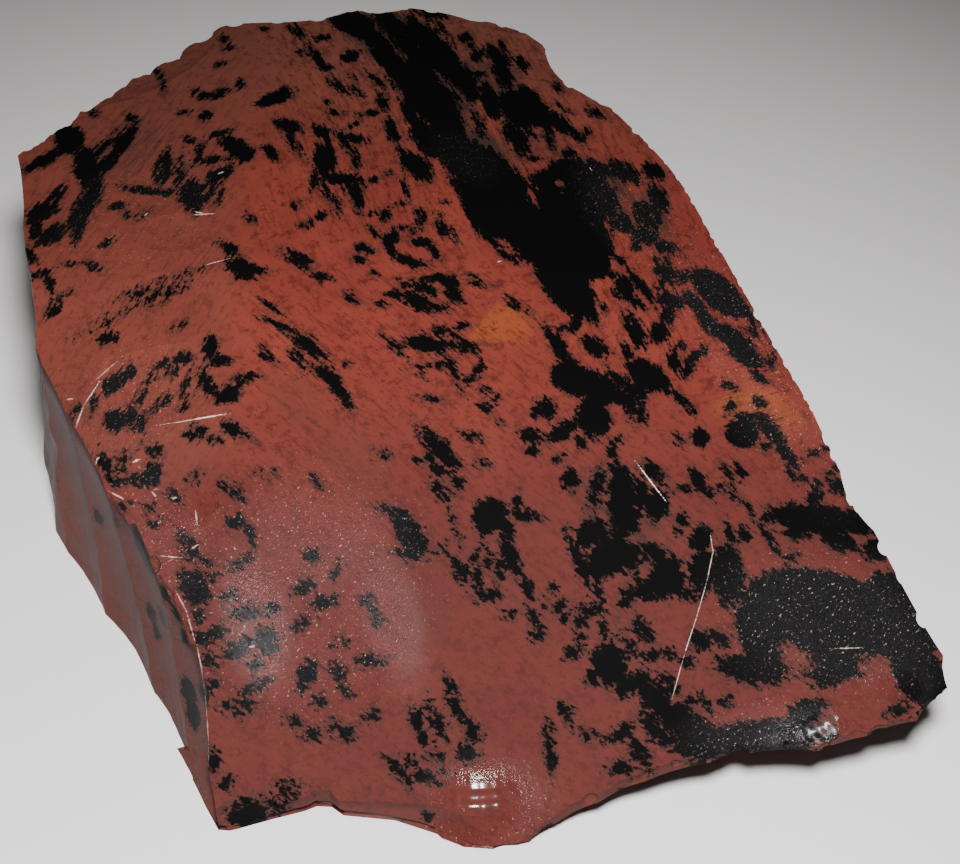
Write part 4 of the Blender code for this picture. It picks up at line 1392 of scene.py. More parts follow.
@dataclass(frozen=True)
class Mottling:
    """How the red and the black glass are stirred together. Flow has drawn both out into
    streaks, steep in the great band, slanting in the front and rising at the left. Below
    the top the black and the clouds give way to what the wall has of its own: a swirl and
    finer flecks, but at the left, where its spots are set by azimuth, plain red."""

    limit: float = 1.5
    fade_below: float = 0.25
    skin: float = 0.3
    border: float = 0.5
    bared: float = 3.0
    rising_left: tuple[float, float] = (-26, -19)
    rising_back: tuple[float, float] = (-20, -13)
    steep_back: tuple[float, float] = (2, 14)
    steep_right: tuple[float, float] = (6, 16)
    steep_front: tuple[float, float] = (-16, -4)
    flow_line: tuple[float, float] = (5.0, 3.0)
    flow_side: tuple[float, float] = (0.81, -0.59)
    flow_edge: tuple[float, float] = (-0.3, 0.5)
    wall_stretch: tuple[float, float, float] = (1, 1, 0.6)
    swirl_size: float = 9.0
    swirl: float = 1.1
    fleck_size: float = 4.0
    fleck: float = 0.7
    wall_red: float = 0.9
    spotted_from: tuple[float, float] = (182, 190)
    spotted_to: tuple[float, float] = (236, 244)
    wall_frost: float = 0.25
    wall_gloss: float = 0.76

    def on_top(self, plan: Points) -> np.ndarray:
        """How deep inside the black points of the top lie.

        Args:
            plan: places in mm, one row each.

        Returns:
            One depth in mm for each point, below nothing in the red.
        """
        depth = np.full(len(plan), -self.limit)
        for rows in BLACK.values():
            for row in rows:
                width, fullness = row[3], row[5]
                inside = (1 - ellipse(plan, row)) * width / 2
                depth = np.maximum(depth, np.minimum(inside, 2 * fullness - 1))
        for row in RED:
            width, clearness = row[3], row[5]
            outside = (ellipse(plan, row) - 1) * width / 2
            most = np.where(outside < 0, outside * clearness, outside) + 1 - clearness
            depth = np.minimum(depth, most)
        return depth

    def on_wall(self, points: Points, wall: Wall) -> np.ndarray:
        """How deep inside the black points of the wall and the foot lie.

        Args:
            points: places in mm, one row each.
            wall: the wall.

        Returns:
            One depth in mm for each point, below nothing in the red.
        """
        drawn_out = points * self.wall_stretch
        swirl = self.swirl * swells(drawn_out, self.swirl_size, 31)
        depth = swirl + self.fleck * swells(drawn_out, self.fleck_size, 32) - self.wall_red
        azimuth = np.degrees(np.arctan2(points[:, 1], points[:, 0])) % 360
        spotted = ramp(azimuth, *self.spotted_from) * (1 - ramp(azimuth, *self.spotted_to))
        depth = depth * (1 - spotted) - self.limit * spotted
        for place, share, radius in WALL_SPOTS:
            away = np.linalg.norm(points - wall.point(place, share), axis=1)
            depth = np.maximum(depth, radius - away)
        return depth

    def past_flow_line(self, plan: Points) -> np.ndarray:
        """One to the right of the straight flow line where the warm glass begins."""
        across = (plan[:, :2] - self.flow_line) * self.flow_side
        return ramp(across[:, 0] + across[:, 1], *self.flow_edge)

    def streaks(self, plan: Points) -> dict[str, np.ndarray]:
        """How the streaks run at points of the plan.

        Args:
            plan: places in mm, one row each.

        Returns:
            How far rising and how steeply they run at each point, each from nothing to one.
        """
        x, y = plan[:, 0], plan[:, 1]
        rising = (1 - ramp(x, *self.rising_left)) * ramp(y, *self.rising_back)
        right = ramp(x, *self.steep_right) * ramp(y, *self.steep_front)
        steep = np.maximum(ramp(y, *self.steep_back), right)
        return {"rising": rising, "steep": steep * (1 - rising)}

    def fields(self, plan: Points, below: np.ndarray, on_wall: np.ndarray) -> dict[str, np.ndarray]:
        """What is laid in the glass for its finish.

        Args:
            plan: places in mm, one row each.
            below: how far below the top each place is, in mm.
            on_wall: how deep inside the black of the wall it would lie, in mm.

        Returns:
            One value for each place, under each field's name.
        """
        on_top = self.on_top(plan) - self.fade_below * below
        off_top = np.clip(below / self.border, 0, 1)
        black = np.maximum(on_top, on_wall * off_top - self.limit * (1 - off_top))
        bared = 1 - np.clip(below / self.bared, 0, 1)
        frosted = cloud(plan, FROSTED) * (1 - cloud(plan, SMOOTH)) * bared
        glossy = cloud(plan, GLOSSY) * bared
        return {
            "black": np.clip(black, -self.limit, self.limit),
            **self.streaks(plan),
            "frosted": np.maximum(frosted, self.wall_frost * (1 - bared)),
            "dull": 1 - np.maximum(glossy, self.wall_gloss * (1 - bared)),
            "walled": off_top,
            "warm": cloud(plan, WARM) * bared * self.past_flow_line(plan),
            "smoked": cloud(plan, SMOKED) * bared,
            "hazed": cloud(plan, HAZED) * bared,
            "hackled": cloud(plan, HACKLED) * bared,
        }


def values_of(items: bpy.types.bpy_prop_collection, name: str, columns: int = 1) -> np.ndarray:
    """A property of every vertex, corner or face of a mesh.

    Args:
        items: the vertices, corners or faces.
        name: the property.
        columns: how many numbers it has: one is read as whole numbers.

    Returns:
        The numbers, with one row for each item where there are several.
    """
    values = np.empty(len(items) * columns, np.int32 if columns == 1 else np.float32)
    items.foreach_get(name, values)
    return values if columns == 1 else values.reshape(-1, columns).astype(float)


class ObsidianChunk:
    """The stone: knapped from its block, then dressed."""

    def __init__(self, crown: Crown, wall: Wall, middle: tuple[float, float]) -> None:
        """Set out the scars and the chips.

        Args:
            crown: the rounded top.
            wall: the broken wall.
            middle: the middle of the box in the tables' own plan.
        """
        self.crown = crown
        self.wall = wall
        self.middle = np.array([*middle, 0.0])
        top = [top_scar(crown, name, numbers) for name, numbers in TOP_SCARS.items()]
        side = [wall_scar(wall, name, numbers) for name, numbers in WALL_SCARS.items()]
        self.scars = top + side
        self.mottling = Mottling()
        self.chips = [chip for stretch in CHIPPED for chip in self.edge_chips(stretch)]

    def block(self) -> bpy.types.Object:
        """The rough block, with the stone's outline.

        Returns:
            The block, in the tables' plan.
        """
        wall = self.wall
        shares = np.linspace(0, 1, wall.rings)
        rings = [wall.ring(share) for share in shares]
        for ring, share in zip(rings, shares):
            uneven = wall.waver * swells(ring, wall.waver_size, 11) * math.sin(math.pi * share)
            ring[:, :2] += unit(ring[:, :2]) * uneven[:, None]
        over = rings[-1].copy()
        over[:, 2] = wall.block_top
        rings.append(over)
        around = len(over)
        first = np.arange(around)
        after = np.roll(first, -1)
        faces = [tuple(first[::-1].tolist())]
        for level in range(len(rings) - 1):
            low, high = level * around, (level + 1) * around
            quads = np.stack([first + low, after + low, after + high, first + high], axis=1)
            faces += [tuple(face) for face in quads.tolist()]
        faces.append(tuple((first + (len(rings) - 1) * around).tolist()))
        return solid_from("obsidian_chunk_glass", np.concatenate(rings), faces)

    def crown_cutter(self) -> bpy.types.Object:
        """Everything over the crown.

        Returns:
            The cutter.
        """
        crown = self.crown
        line = np.arange(-crown.reach, crown.reach + crown.cell, crown.cell)
        x, y = np.meshgrid(line, line, indexing="ij")
        under = np.stack([x, y, crown.height(x, y)], axis=-1)
        lid = under.copy()
        lid[..., 2] = self.wall.block_top + crown.headroom
        return slab_over("crown_cutter", under, lid)

    def scar_cutter(self, scar: Scar) -> bpy.types.Object:
        """Everything over the bowl of a scar.

        Args:
            scar: the scar.

        Returns:
            The cutter.
        """
        half_length, half_width = scar.length * scar.margin, scar.width * scar.margin
        along = np.linspace(-half_length, half_length, math.ceil(2 * half_length / scar.cell))
        across = np.linspace(-half_width, half_width, math.ceil(2 * half_width / scar.cell))
        a, b = np.meshgrid(along, across, indexing="ij")
        low = np.stack([a, b, scar.bowl(a, b)], axis=-1)
        high = low.copy()
        high[..., 2] = scar.lid
        axes = scar.axes()
        return slab_over(scar.name, scar.middle + low @ axes, scar.middle + high @ axes)

    def top_at(self, plan: Points) -> np.ndarray:
        """The height of the top, scars and all, over points of the plan.

        Args:
            plan: places in mm, one row each.

        Returns:
            One height in mm for each point.
        """
        height = self.crown.height(plan[:, 0], plan[:, 1])
        for scar in self.scars[: len(TOP_SCARS)]:
            place = np.column_stack([plan, height])
            over = scar.stands_out(place)
            height = height - np.where(over > 0, over / scar.axes()[2, 2], 0)
        return height

    def edge_chips(self, stretch: ChippedStretch) -> list[Chip]:
        """Small bites along a stretch of the rim.

        Args:
            stretch: which part of the rim, and how badly it is chipped.

        Returns:
            The chips, in order along the rim.
        """
        chance = np.random.default_rng(stretch.seed)
        rim = self.wall.rim()[:, :2]
        azimuths = np.degrees(np.arctan2(rim[:, 1], rim[:, 0])) % 360
        chips = []
        azimuth = stretch.start
        while azimuth < stretch.end:
            plan = rim[int(np.argmin(np.abs((azimuths - azimuth + 180) % 360 - 180)))]
            radius = chance.uniform(*stretch.radius)
            bite = radius * chance.uniform(*stretch.bite)
            out = unit(plan + chance.normal(size=2) * CHIP_STRAY)
            tilt = math.radians(chance.uniform(*stretch.tilt))
            away = np.array([*(out * math.cos(tilt)), math.sin(tilt)])
            edge = np.array([*plan, float(self.top_at(plan[None])[0])])
            chips.append(Chip(edge + away * (radius - bite), radius))
            gap = chance.uniform(*stretch.gap) + CHIP_SPAN * math.sqrt(2 * radius * bite)
            azimuth += math.degrees(gap / np.linalg.norm(plan))
        return chips

    def chip_cutters(self) -> list[bpy.types.Object]:
        """The chips as round cutters.

        Returns:
            The cutters, sets of chips whose rounds stand clear of each other.
        """
        cutters = []
        for kind in range(CHIP_SETS):
            rounds = bmesh.new()
            for chip in self.chips[kind::CHIP_SETS]:
                place = Matrix.Translation(Vector(chip.middle * MM))
                bmesh.ops.create_icosphere(
                    rounds, subdivisions=CHIP_ROUNDNESS, radius=chip.radius * MM, matrix=place
                )
            mesh = bpy.data.meshes.new(f"chips_{kind}")
            rounds.to_mesh(mesh)
            rounds.free()
            cutter = bpy.data.objects.new(mesh.name, mesh)
            bpy.context.scene.collection.objects.link(cutter)
            cutters.append(cutter)
        return cutters

    def knap(self) -> bpy.types.Object:
        """Strike the crown, every scar and every chip off the block.

        Returns:
            The stone.
        """
        stone = self.block()
        cutters = [self.crown_cutter()] + [self.scar_cutter(scar) for scar in self.scars]
        cutters += self.chip_cutters()
        for cutter in cutters:
            blow = stone.modifiers.new(cutter.name, "BOOLEAN")
            blow.operation = "DIFFERENCE"
            blow.solver = "MANIFOLD"
            blow.object = cutter
        broken = bpy.data.meshes.new_from_object(
            stone.evaluated_get(bpy.context.evaluated_depsgraph_get())
        )
        stone.modifiers.clear()
        stone.data = broken
        for cutter in cutters:
            bpy.data.objects.remove(cutter)
        return stone

    def polish(self, stone: bpy.types.Object) -> None:
        """Give every face the true normals of the surface it was cut by, so that the glass
        shades smooth up to its arrises.

        Args:
            stone: the knapped stone.
        """
        mesh = stone.data
        mesh.shade_smooth()
        mesh.set_sharp_from_angle(angle=math.radians(ARRIS_ANGLE))
        centres = values_of(mesh.polygons, "center", 3) / MM
        places = values_of(mesh.vertices, "co", 3) / MM
        corners = places[values_of(mesh.loops, "vertex_index")]
        normals = values_of(mesh.corner_normals, "vector", 3)
        surfaces = [self.crown, *self.scars, *self.chips]
        away = np.stack([np.abs(surface.stands_out(centres)) for surface in surfaces])
        nearest = np.where(away.min(axis=0) < FIT, away.argmin(axis=0), -1)
        surface_of_corner = np.repeat(nearest, values_of(mesh.polygons, "loop_total"))
        for number, surface in enumerate(surfaces):
            mine = np.flatnonzero(surface_of_corner == number)
            if len(mine):
                normals[mine] = slope_of(surface, corners[mine])
        mesh.normals_split_custom_set(normals.tolist())

    def stain(self, stone: bpy.types.Object) -> None:
        """Lay the black, the streaks and the clouds in the glass, a value to each vertex.

        Args:
            stone: the knapped stone.
        """
        mesh = stone.data
        points = values_of(mesh.vertices, "co", 3) / MM
        plan = points[:, :2]
        below = np.maximum(self.top_at(plan) - points[:, 2] - self.mottling.skin, 0)
        on_wall = self.mottling.on_wall(points, self.wall)
        for name, values in self.mottling.fields(plan, below, on_wall).items():
            layer = mesh.attributes.new(name, "FLOAT", "POINT")
            layer.data.foreach_set("value", values.astype(np.float32))

    def scratches_and_glints(self) -> list[ScratchOrGlint]:
        """The scratches and bruises, and the painted glints and arris highlights.

        Returns:
            Each where it lies in the frame, in mm.
        """
        marks = []
        for x, y, length, width, heading, white in SCRATCHES_AND_GLINTS:
            height = float(self.top_at(np.array([[x, y]]))[0])
            place = Vector((x, y, height)) - Vector(self.middle)
            half_size = Vector((length / 2, width / MARK_THINNING, MARK_DEPTH))
            marks.append(ScratchOrGlint(place, math.radians(heading), half_size, white))
        return marks

    def build(self) -> bpy.types.Object:
        """The finished stone, in the frame's own place.

        Returns:
            The stone, without its finish.
        """
        stone = self.knap()
        self.polish(stone)
        self.stain(stone)
        stone.data.transform(Matrix.Translation(Vector(-self.middle * MM)))
        return stone


def linear(code: str) -> tuple[float, float, float, float]:
    """The linear colour of an sRGB hex code.

    Args:
        code: the colour, as # and six digits.

    Returns:
        Its red, green and blue, and full cover.
    """
    parts = [int(code[at : at + 2], 16) / 255 for at in (1, 3, 5)]
    red, green, blue = (
        part / 12.92 if part <= 0.04045 else ((part + 0.055) / 1.055) ** 2.4 for part in parts
    )
    return red, green, blue, 1.0


def add_node(
    tree: bpy.types.NodeTree,
    kind: str,
    settings: dict[str, object] | None = None,
    inputs: dict[str | int, object] | None = None,
) -> bpy.types.Node:
    """Add a node with its settings and its links.

    Args:
        tree: where the node goes.
        kind: the node's type.
        settings: its own properties.
        inputs: a value, or the socket of another node, for each input that isn't left be.

    Returns:
        The node.
    """
    node = tree.nodes.new(kind)
    for name, value in (settings or {}).items():
        setattr(node, name, value)
    for name, value in (inputs or {}).items():
        if isinstance(value, bpy.types.NodeSocket):
            tree.links.new(value, node.inputs[name])
        else:
            node.inputs[name].default_value = value
    return node


class Lean(Enum):
    """The azimuth that streaks of the glass run along, in degrees."""

    SLANTING = -45
    STEEP = -70
    RISING = 65


@dataclass(frozen=True)
class Tint:
    """A colour that comes in over a span of some value, up to a share of it at the most."""

    code: str
    span: tuple[float, float]
    most: float = 1.0


@dataclass(frozen=True)
class Noise:
    """A noise in the glass: the azimuth that it is drawn out along, the usual length and
    width of a feature in mm, and how many times over it is made finer."""

    heading: float
    length: float
    width: float
    detail: float = 3.0


# What the stone has laid in its glass, what the finish reads of it, and a rise that starts
# and ends softly.
FIELDS = (
    "black",
    "rising",
    "steep",
    "frosted",
    "dull",
    "walled",
    "warm",
    "smoked",
    "hazed",
    "hackled",
)
Sockets = dict[str, bpy.types.NodeSocket]
RISE = {"interpolation_type": "SMOOTHSTEP"}


@dataclass(frozen=True)
class MahoganyObsidian:
    """Volcanic glass, stained red-brown by iron and streaked with black, bared by blows and
    never ground. Its faces are fresh glass, dark and mirror-smooth, but where the crack ran
    fast they are frosted and glitter, and the thin edges are bruised white. Light and shade are
    painted into the colour too: painted shade darkens the front, and a lilac sheen, a charcoal
    sheen on the black, white glints and highlights along some arrises are painted on.

    The glitter's real grain, a few hundredths of a millimetre, is drawn about five times
    too coarse so that it shows."""

    red: str = "#6c2e26"
    bright_red: Tint = Tint("#7c382b", (0.46, 0.68), 0.5)
    grey_brown: Tint = Tint("#6e463a", (12, 46), 0.6)
    orange: Tint = Tint("#8a4a1e", (0, 1), 0.42)
    wisp_red: Tint = Tint("#431a16", (0.48, 0.68), 0.6)
    grain_red: Tint = Tint("#431a16", (0.5, 0.68), 0.7)
    haze_brown: Tint = Tint("#5b2e26", (0, 1), 0.6)
    # Painted shade: the front of the stone is darkened.
    front_painted_shade: Tint = Tint("#3f2120", (-4, -28), 0.68)
    dull_red: Tint = Tint("#5f352c", (0, 1), 0.45)
    # Painted sheen: a faint lilac laid on the frosted glass.
    lilac_painted_sheen: Tint = Tint("#8f6468", (0.3, 1), 0.05)
    wall_brown: Tint = Tint("#5b2e26", (0, 1), 0.5)
    deep_brown: Tint = Tint("#38201a", (0.55, 0.68), 0.65)
    smoke: Tint = Tint("#2c2421", (0.75, 1.35), 0.8)
    smoke_rim: Tint = Tint("#2c2421", (-0.45, 0), 0.6)
    black: Tint = Tint("#070606", (-0.09, 0.09))
    # Charcoal for frosted black: partly its own grey, partly a painted sheen.
    charcoal_frost_and_sheen: str = "#1f1e20"
    # White for bruises and scratches, and for painted glints and painted highlights along arrises.
    bruise_and_glint_white: str = "#e8c8ba"
    refraction: float = 1.5
    shininess: float = 0.45
    roughness: float = 0.1
    dulling: float = 0.65
    ragged: float = 0.6
    grained: float = 0.3
    spread: float = 0.05
    noise_roughness: float = 0.72
    streaks: tuple[float, float] = (2.8, 0.5)
    wisps: tuple[float, float] = (3.4, 0.6)
    flecks: tuple[float, float] = (1.1, 0.45)
    streak_detail: float = 4.0
    grains: Noise = Noise(0, 0.45, 0.45, 2.0)
    mottle: Noise = Noise(15, 1.1, 1.1, 4.0)
    clouds: Noise = Noise(-50, 16.0, 7.0)
    hackles: Noise = Noise(22, 7.0, 0.4)
    soft_hackles: Noise = Noise(22, 7.0, 0.4, 1.0)
    hackled: float = 0.5
    hackle_height: float = 0.02
    glitter: Noise = Noise(0, 0.24, 0.24, 1.0)
    glitter_height: float = 0.08
    glints: Noise = Noise(50, 0.24 * 1.4, 0.24)
    glint_span: tuple[float, float] = (0.62, 0.71)
    glint: float = 0.5
    sheen_grains: Noise = Noise(40, 0.24 * 0.7, 0.24 * 0.7, 1.0)
    sheen_span: tuple[float, float] = (0.1, 0.8)
    smoke_wisps: float = 1.2
    grit: Noise = Noise(30, 0.4, 0.25, 2.0)
    breakup: float = 2.2
    white_span: tuple[float, float] = (2.2, 1.5)

    def build(self, scratches_and_glints: list[ScratchOrGlint]) -> bpy.types.Material:
        """The finish.

        Args:
            scratches_and_glints: the scratches and bruises in the glass, and the painted glints and
                arris highlights.

        Returns:
            The material.
        """
        material = bpy.data.materials.new("mahogany_obsidian")
        material.use_nodes = True
        tree = material.node_tree
        tree.nodes.clear()
        laid = {}
        for name in FIELDS:
            field = add_node(tree, "ShaderNodeAttribute", {"attribute_name": name})
            laid[name] = field.outputs["Fac"]
        where = add_node(tree, "ShaderNodeTexCoord").outputs["Object"]
        in_mm = {0: where, "Scale": 1 / MM}
        place = add_node(tree, "ShaderNodeVectorMath", {"operation": "SCALE"}, in_mm)
        laid["place"] = place.outputs[0]
        laid["depth"] = self.depth_in_black(tree, laid)
        dull = {0: laid["dull"], 1: self.dulling, 2: self.roughness}
        roughness = add_node(tree, "ShaderNodeMath", {"operation": "MULTIPLY_ADD"}, dull)
        glass = add_node(
            tree,
            "ShaderNodeBsdfPrincipled",
            {},
            {
                "Base Color": self.scratched_and_glinting(tree, laid, self.colour(tree, laid), scratches_and_glints),
                "Roughness": roughness.outputs[0],
                "IOR": self.refraction,
                "Specular IOR Level": self.shininess,
                "Normal": self.relief(tree, laid),
            },
        )
        add_node(tree, "ShaderNodeOutputMaterial", {}, {"Surface": glass.outputs[0]})
        return material

    def drawn_noise(
        self, tree: bpy.types.NodeTree, laid: Sockets, noise: Noise
    ) -> bpy.types.NodeSocket:
        """Noise drawn out along an azimuth.

        Args:
            tree: where the nodes go.
            laid: the place in mm, and what is laid in the glass there.
            noise: what the noise is like.

        Returns:
            The noise, about a half.
        """
        turned_place = add_node(
            tree,
            "ShaderNodeMapping",
            {"vector_type": "TEXTURE"},
            {
                "Vector": laid["place"],
                "Rotation": (0, 0, math.radians(noise.heading)),
                "Scale": (noise.length, noise.width, noise.width),
            },
        ).outputs[0]
        drawn = {"Vector": turned_place, "Scale": 1.0, "Detail": noise.detail}
        drawn["Roughness"] = self.noise_roughness
        return add_node(tree, "ShaderNodeTexNoise", {}, drawn).outputs["Fac"]

    def flowing_noise(
        self, tree: bpy.types.NodeTree, laid: Sockets, size: tuple[float, float]
    ) -> bpy.types.NodeSocket:
        """Noise drawn out along the flow of the glass, and across it where it is hackled.

        Args:
            tree: where the nodes go.
            laid: the place in mm, and what is laid in the glass there.
            size: the usual length and width of a streak in mm.

        Returns:
            The noise, about a half.
        """
        slanting, steep, rising = (
            self.drawn_noise(tree, laid, Noise(lean.value, *size, self.streak_detail))
            for lean in Lean
        )
        hackles = self.drawn_noise(tree, laid, self.hackles)
        share = {0: laid["hackled"], 1: self.hackled}
        hackled = add_node(tree, "ShaderNodeMath", {"operation": "MULTIPLY"}, share).outputs[0]
        noise = slanting
        others = ((laid["steep"], steep), (laid["rising"], rising), (hackled, hackles))
        for share, other in others:
            noise = add_node(tree, "ShaderNodeMix", {}, {0: share, 2: noise, 3: other}).outputs[0]
        return noise

    def depth_in_black(self, tree: bpy.types.NodeTree, laid: Sockets) -> bpy.types.NodeSocket:
        """How deep inside the black a place lies, with the edges drawn out in hairs and
        broken into grains.

        Args:
            tree: where the nodes go.
            laid: the place in mm, and what is laid in the glass there.

        Returns:
            The depth in mm.
        """
        streaks = self.flowing_noise(tree, laid, self.streaks)
        grains = self.drawn_noise(tree, laid, self.grains)
        depth = laid["black"]
        for noise, height in ((streaks, 4 * self.ragged), (grains, 4 * self.grained)):
            raised = {0: noise, 1: height, 2: depth}
            depth = add_node(
                tree, "ShaderNodeMath", {"operation": "MULTIPLY_ADD"}, raised
            ).outputs[0]
        level = {0: depth, 1: 2 * (self.ragged + self.grained) - self.spread}
        return add_node(tree, "ShaderNodeMath", {"operation": "SUBTRACT"}, level).outputs[0]

    def tinted(
        self,
        tree: bpy.types.NodeTree,
        colour: bpy.types.NodeSocket,
        tint: Tint,
        value: bpy.types.NodeSocket,
    ) -> bpy.types.NodeSocket:
        """A colour with a tint laid over it.

        Args:
            tree: where the nodes go.
            colour: the colour.
            tint: the tint.
            value: the value that the tint comes in with.

        Returns:
            The colour, tinted.
        """
        span = {"Value": value, "From Min": tint.span[0], "From Max": tint.span[1]}
        share = add_node(tree, "ShaderNodeMapRange", RISE, span | {"To Max": tint.most})
        blend = {0: share.outputs[0], 6: colour, 7: linear(tint.code)}
        return add_node(tree, "ShaderNodeMix", {"data_type": "RGBA"}, blend).outputs[2]

    def colour(self, tree: bpy.types.NodeTree, laid: Sockets) -> bpy.types.NodeSocket:
        """The colour of the glass: the red, greyer towards the back and darkened towards the front
        by painted shade, with everything else laid over it in turn, among it a painted lilac sheen,
        a painted charcoal sheen on frosted black and painted white glints.

        Args:
            tree: where the nodes go.
            laid: the place in mm, and what is laid in the glass there.

        Returns:
            The colour.
        """
        backwards = add_node(tree, "ShaderNodeSeparateXYZ", {}, {0: laid["place"]}).outputs[1]
        wisps = self.flowing_noise(tree, laid, self.wisps)
        smoking = {0: wisps, 1: self.smoke_wisps, 2: laid["smoked"]}
        smoke = add_node(tree, "ShaderNodeMath", {"operation": "MULTIPLY_ADD"}, smoking)
        colour = add_node(tree, "ShaderNodeRGB").outputs[0]
        colour.default_value = linear(self.red)
        for tint, value in (
            (self.bright_red, self.drawn_noise(tree, laid, self.clouds)),
            (self.grey_brown, backwards),
            (self.orange, laid["warm"]),
            (self.wisp_red, wisps),
            (self.grain_red, self.drawn_noise(tree, laid, self.mottle)),
            (self.haze_brown, laid["hazed"]),
            # Painted shade darkening the front.
            (self.front_painted_shade, backwards),
            (self.dull_red, laid["rising"]),
            # Painted lilac sheen on the frosted glass.
            (self.lilac_painted_sheen, laid["frosted"]),
            (self.wall_brown, laid["walled"]),
            (self.deep_brown, self.flowing_noise(tree, laid, self.flecks)),
            (self.smoke, smoke.outputs[0]),
            (self.smoke_rim, laid["depth"]),
            (self.black, laid["depth"]),
        ):
            colour = self.tinted(tree, colour, tint, value)
        # A painted sheen on the frosted black, then painted white glints.
        dusted = ((self.charcoal_frost_and_sheen, self.frost_and_painted_sheen(tree, laid)), (self.bruise_and_glint_white, self.painted_glints(tree, laid)))
        for code, share in dusted:
            blend = {0: share, 6: colour, 7: linear(code)}
            colour = add_node(tree, "ShaderNodeMix", {"data_type": "RGBA"}, blend).outputs[2]
        return colour

    def frost_and_painted_sheen(self, tree: bpy.types.NodeTree, laid: Sockets) -> bpy.types.NodeSocket:
        """Where the black is frosted to charcoal, grain by grain: partly the grey of frosted black
        glass, partly a painted sheen.

        Args:
            tree: where the nodes go.
            laid: the place in mm, and what is laid in the glass there.

        Returns:
            How much charcoal there is.
        """
        grains = self.drawn_noise(tree, laid, self.sheen_grains)
        share = laid["frosted"]
        inside = (0, self.black.span[1])
        for value, (low, high) in ((grains, self.sheen_span), (laid["depth"], inside)):
            span = {"Value": value, "From Min": low, "From Max": high}
            rise = add_node(tree, "ShaderNodeMapRange", RISE, span)
            both = {0: rise.outputs[0], 1: share}
            share = add_node(tree, "ShaderNodeMath", {"operation": "MULTIPLY"}, both).outputs[0]
        return share

    def painted_glints(self, tree: bpy.types.NodeTree, laid: Sockets) -> bpy.types.NodeSocket:
        """Where white glints are painted into the frosted glass.

        Args:
            tree: where the nodes go.
            laid: the place in mm, and what is laid in the glass there.

        Returns:
            How white it is.
        """
        # Painted glints: white specks in the frosted glass.
        grains = self.drawn_noise(tree, laid, self.glints)
        low, high = self.glint_span
        span = {"Value": grains, "From Min": low, "From Max": high, "To Max": self.glint}
        glints = add_node(tree, "ShaderNodeMapRange", RISE, span)
        both = {0: glints.outputs[0], 1: laid["frosted"]}
        return add_node(tree, "ShaderNodeMath", {"operation": "MULTIPLY"}, both).outputs[0]

    def scratched_and_glinting(
        self,
        tree: bpy.types.NodeTree,
        laid: Sockets,
        colour: bpy.types.NodeSocket,
        scratches_and_glints: list[ScratchOrGlint],
    ) -> bpy.types.NodeSocket:
        """The colour with each scratch and bruise crushed white in it, and each painted glint and
        arris highlight painted white.

        Args:
            tree: where the nodes go.
            laid: the place in mm, and what is laid in the glass there.
            colour: the colour of the sound glass.
            scratches_and_glints: the scratches and bruises, and the painted glints and arris
                highlights.

        Returns:
            The colour.
        """
        grit = self.drawn_noise(tree, laid, self.grit)
        for scratch_or_glint in scratches_and_glints:
            inside = add_node(
                tree,
                "ShaderNodeMapping",
                {"vector_type": "TEXTURE"},
                {
                    "Vector": laid["place"],
                    "Location": scratch_or_glint.middle,
                    "Rotation": (0, 0, scratch_or_glint.heading),
                    "Scale": scratch_or_glint.half_size,
                },
            ).outputs[0]
            away = add_node(tree, "ShaderNodeVectorMath", {"operation": "LENGTH"}, {0: inside})
            breakup = {0: grit, 1: self.breakup, 2: away.outputs["Value"]}
            broken = add_node(tree, "ShaderNodeMath", {"operation": "MULTIPLY_ADD"}, breakup)
            # Scratches and bruises crushed white, and the painted glints and arris highlights
            # painted white the same way.
            whitened = Tint(self.bruise_and_glint_white, self.white_span, scratch_or_glint.white)
            colour = self.tinted(tree, colour, whitened, broken.outputs[0])
        return colour

    def relief(self, tree: bpy.types.NodeTree, laid: Sockets) -> bpy.types.NodeSocket:
        """The glitter of the frosted glass and the fine hackles.

        Args:
            tree: where the nodes go.
            laid: the place in mm, and what is laid in the glass there.

        Returns:
            The normal.
        """
        grains = {
            "Strength": laid["frosted"],
            "Distance": self.glitter_height * MM,
            "Height": self.drawn_noise(tree, laid, self.glitter),
        }
        frosted = add_node(tree, "ShaderNodeBump", {}, grains).outputs[0]
        ridges = {
            "Strength": laid["hackled"],
            "Distance": self.hackle_height * MM,
            "Height": self.drawn_noise(tree, laid, self.soft_hackles),
            "Normal": frosted,
        }
        return add_node(tree, "ShaderNodeBump", {}, ridges).outputs[0]


@dataclass(frozen=True)
class PaleBoard:
    """Matt card, calendered smooth: an even pale grey that takes a soft shadow."""

    pale: str = "#dcd9d8"
    roughness: float = 0.9

    def build(self) -> bpy.types.Material:
        """The finish.

        Returns:
            The material.
        """
        material = bpy.data.materials.new("pale_board")
        material.use_nodes = True
        board = material.node_tree.nodes["Principled BSDF"]
        board.inputs["Base Color"].default_value = linear(self.pale)
        board.inputs["Roughness"].default_value = self.roughness
        return material


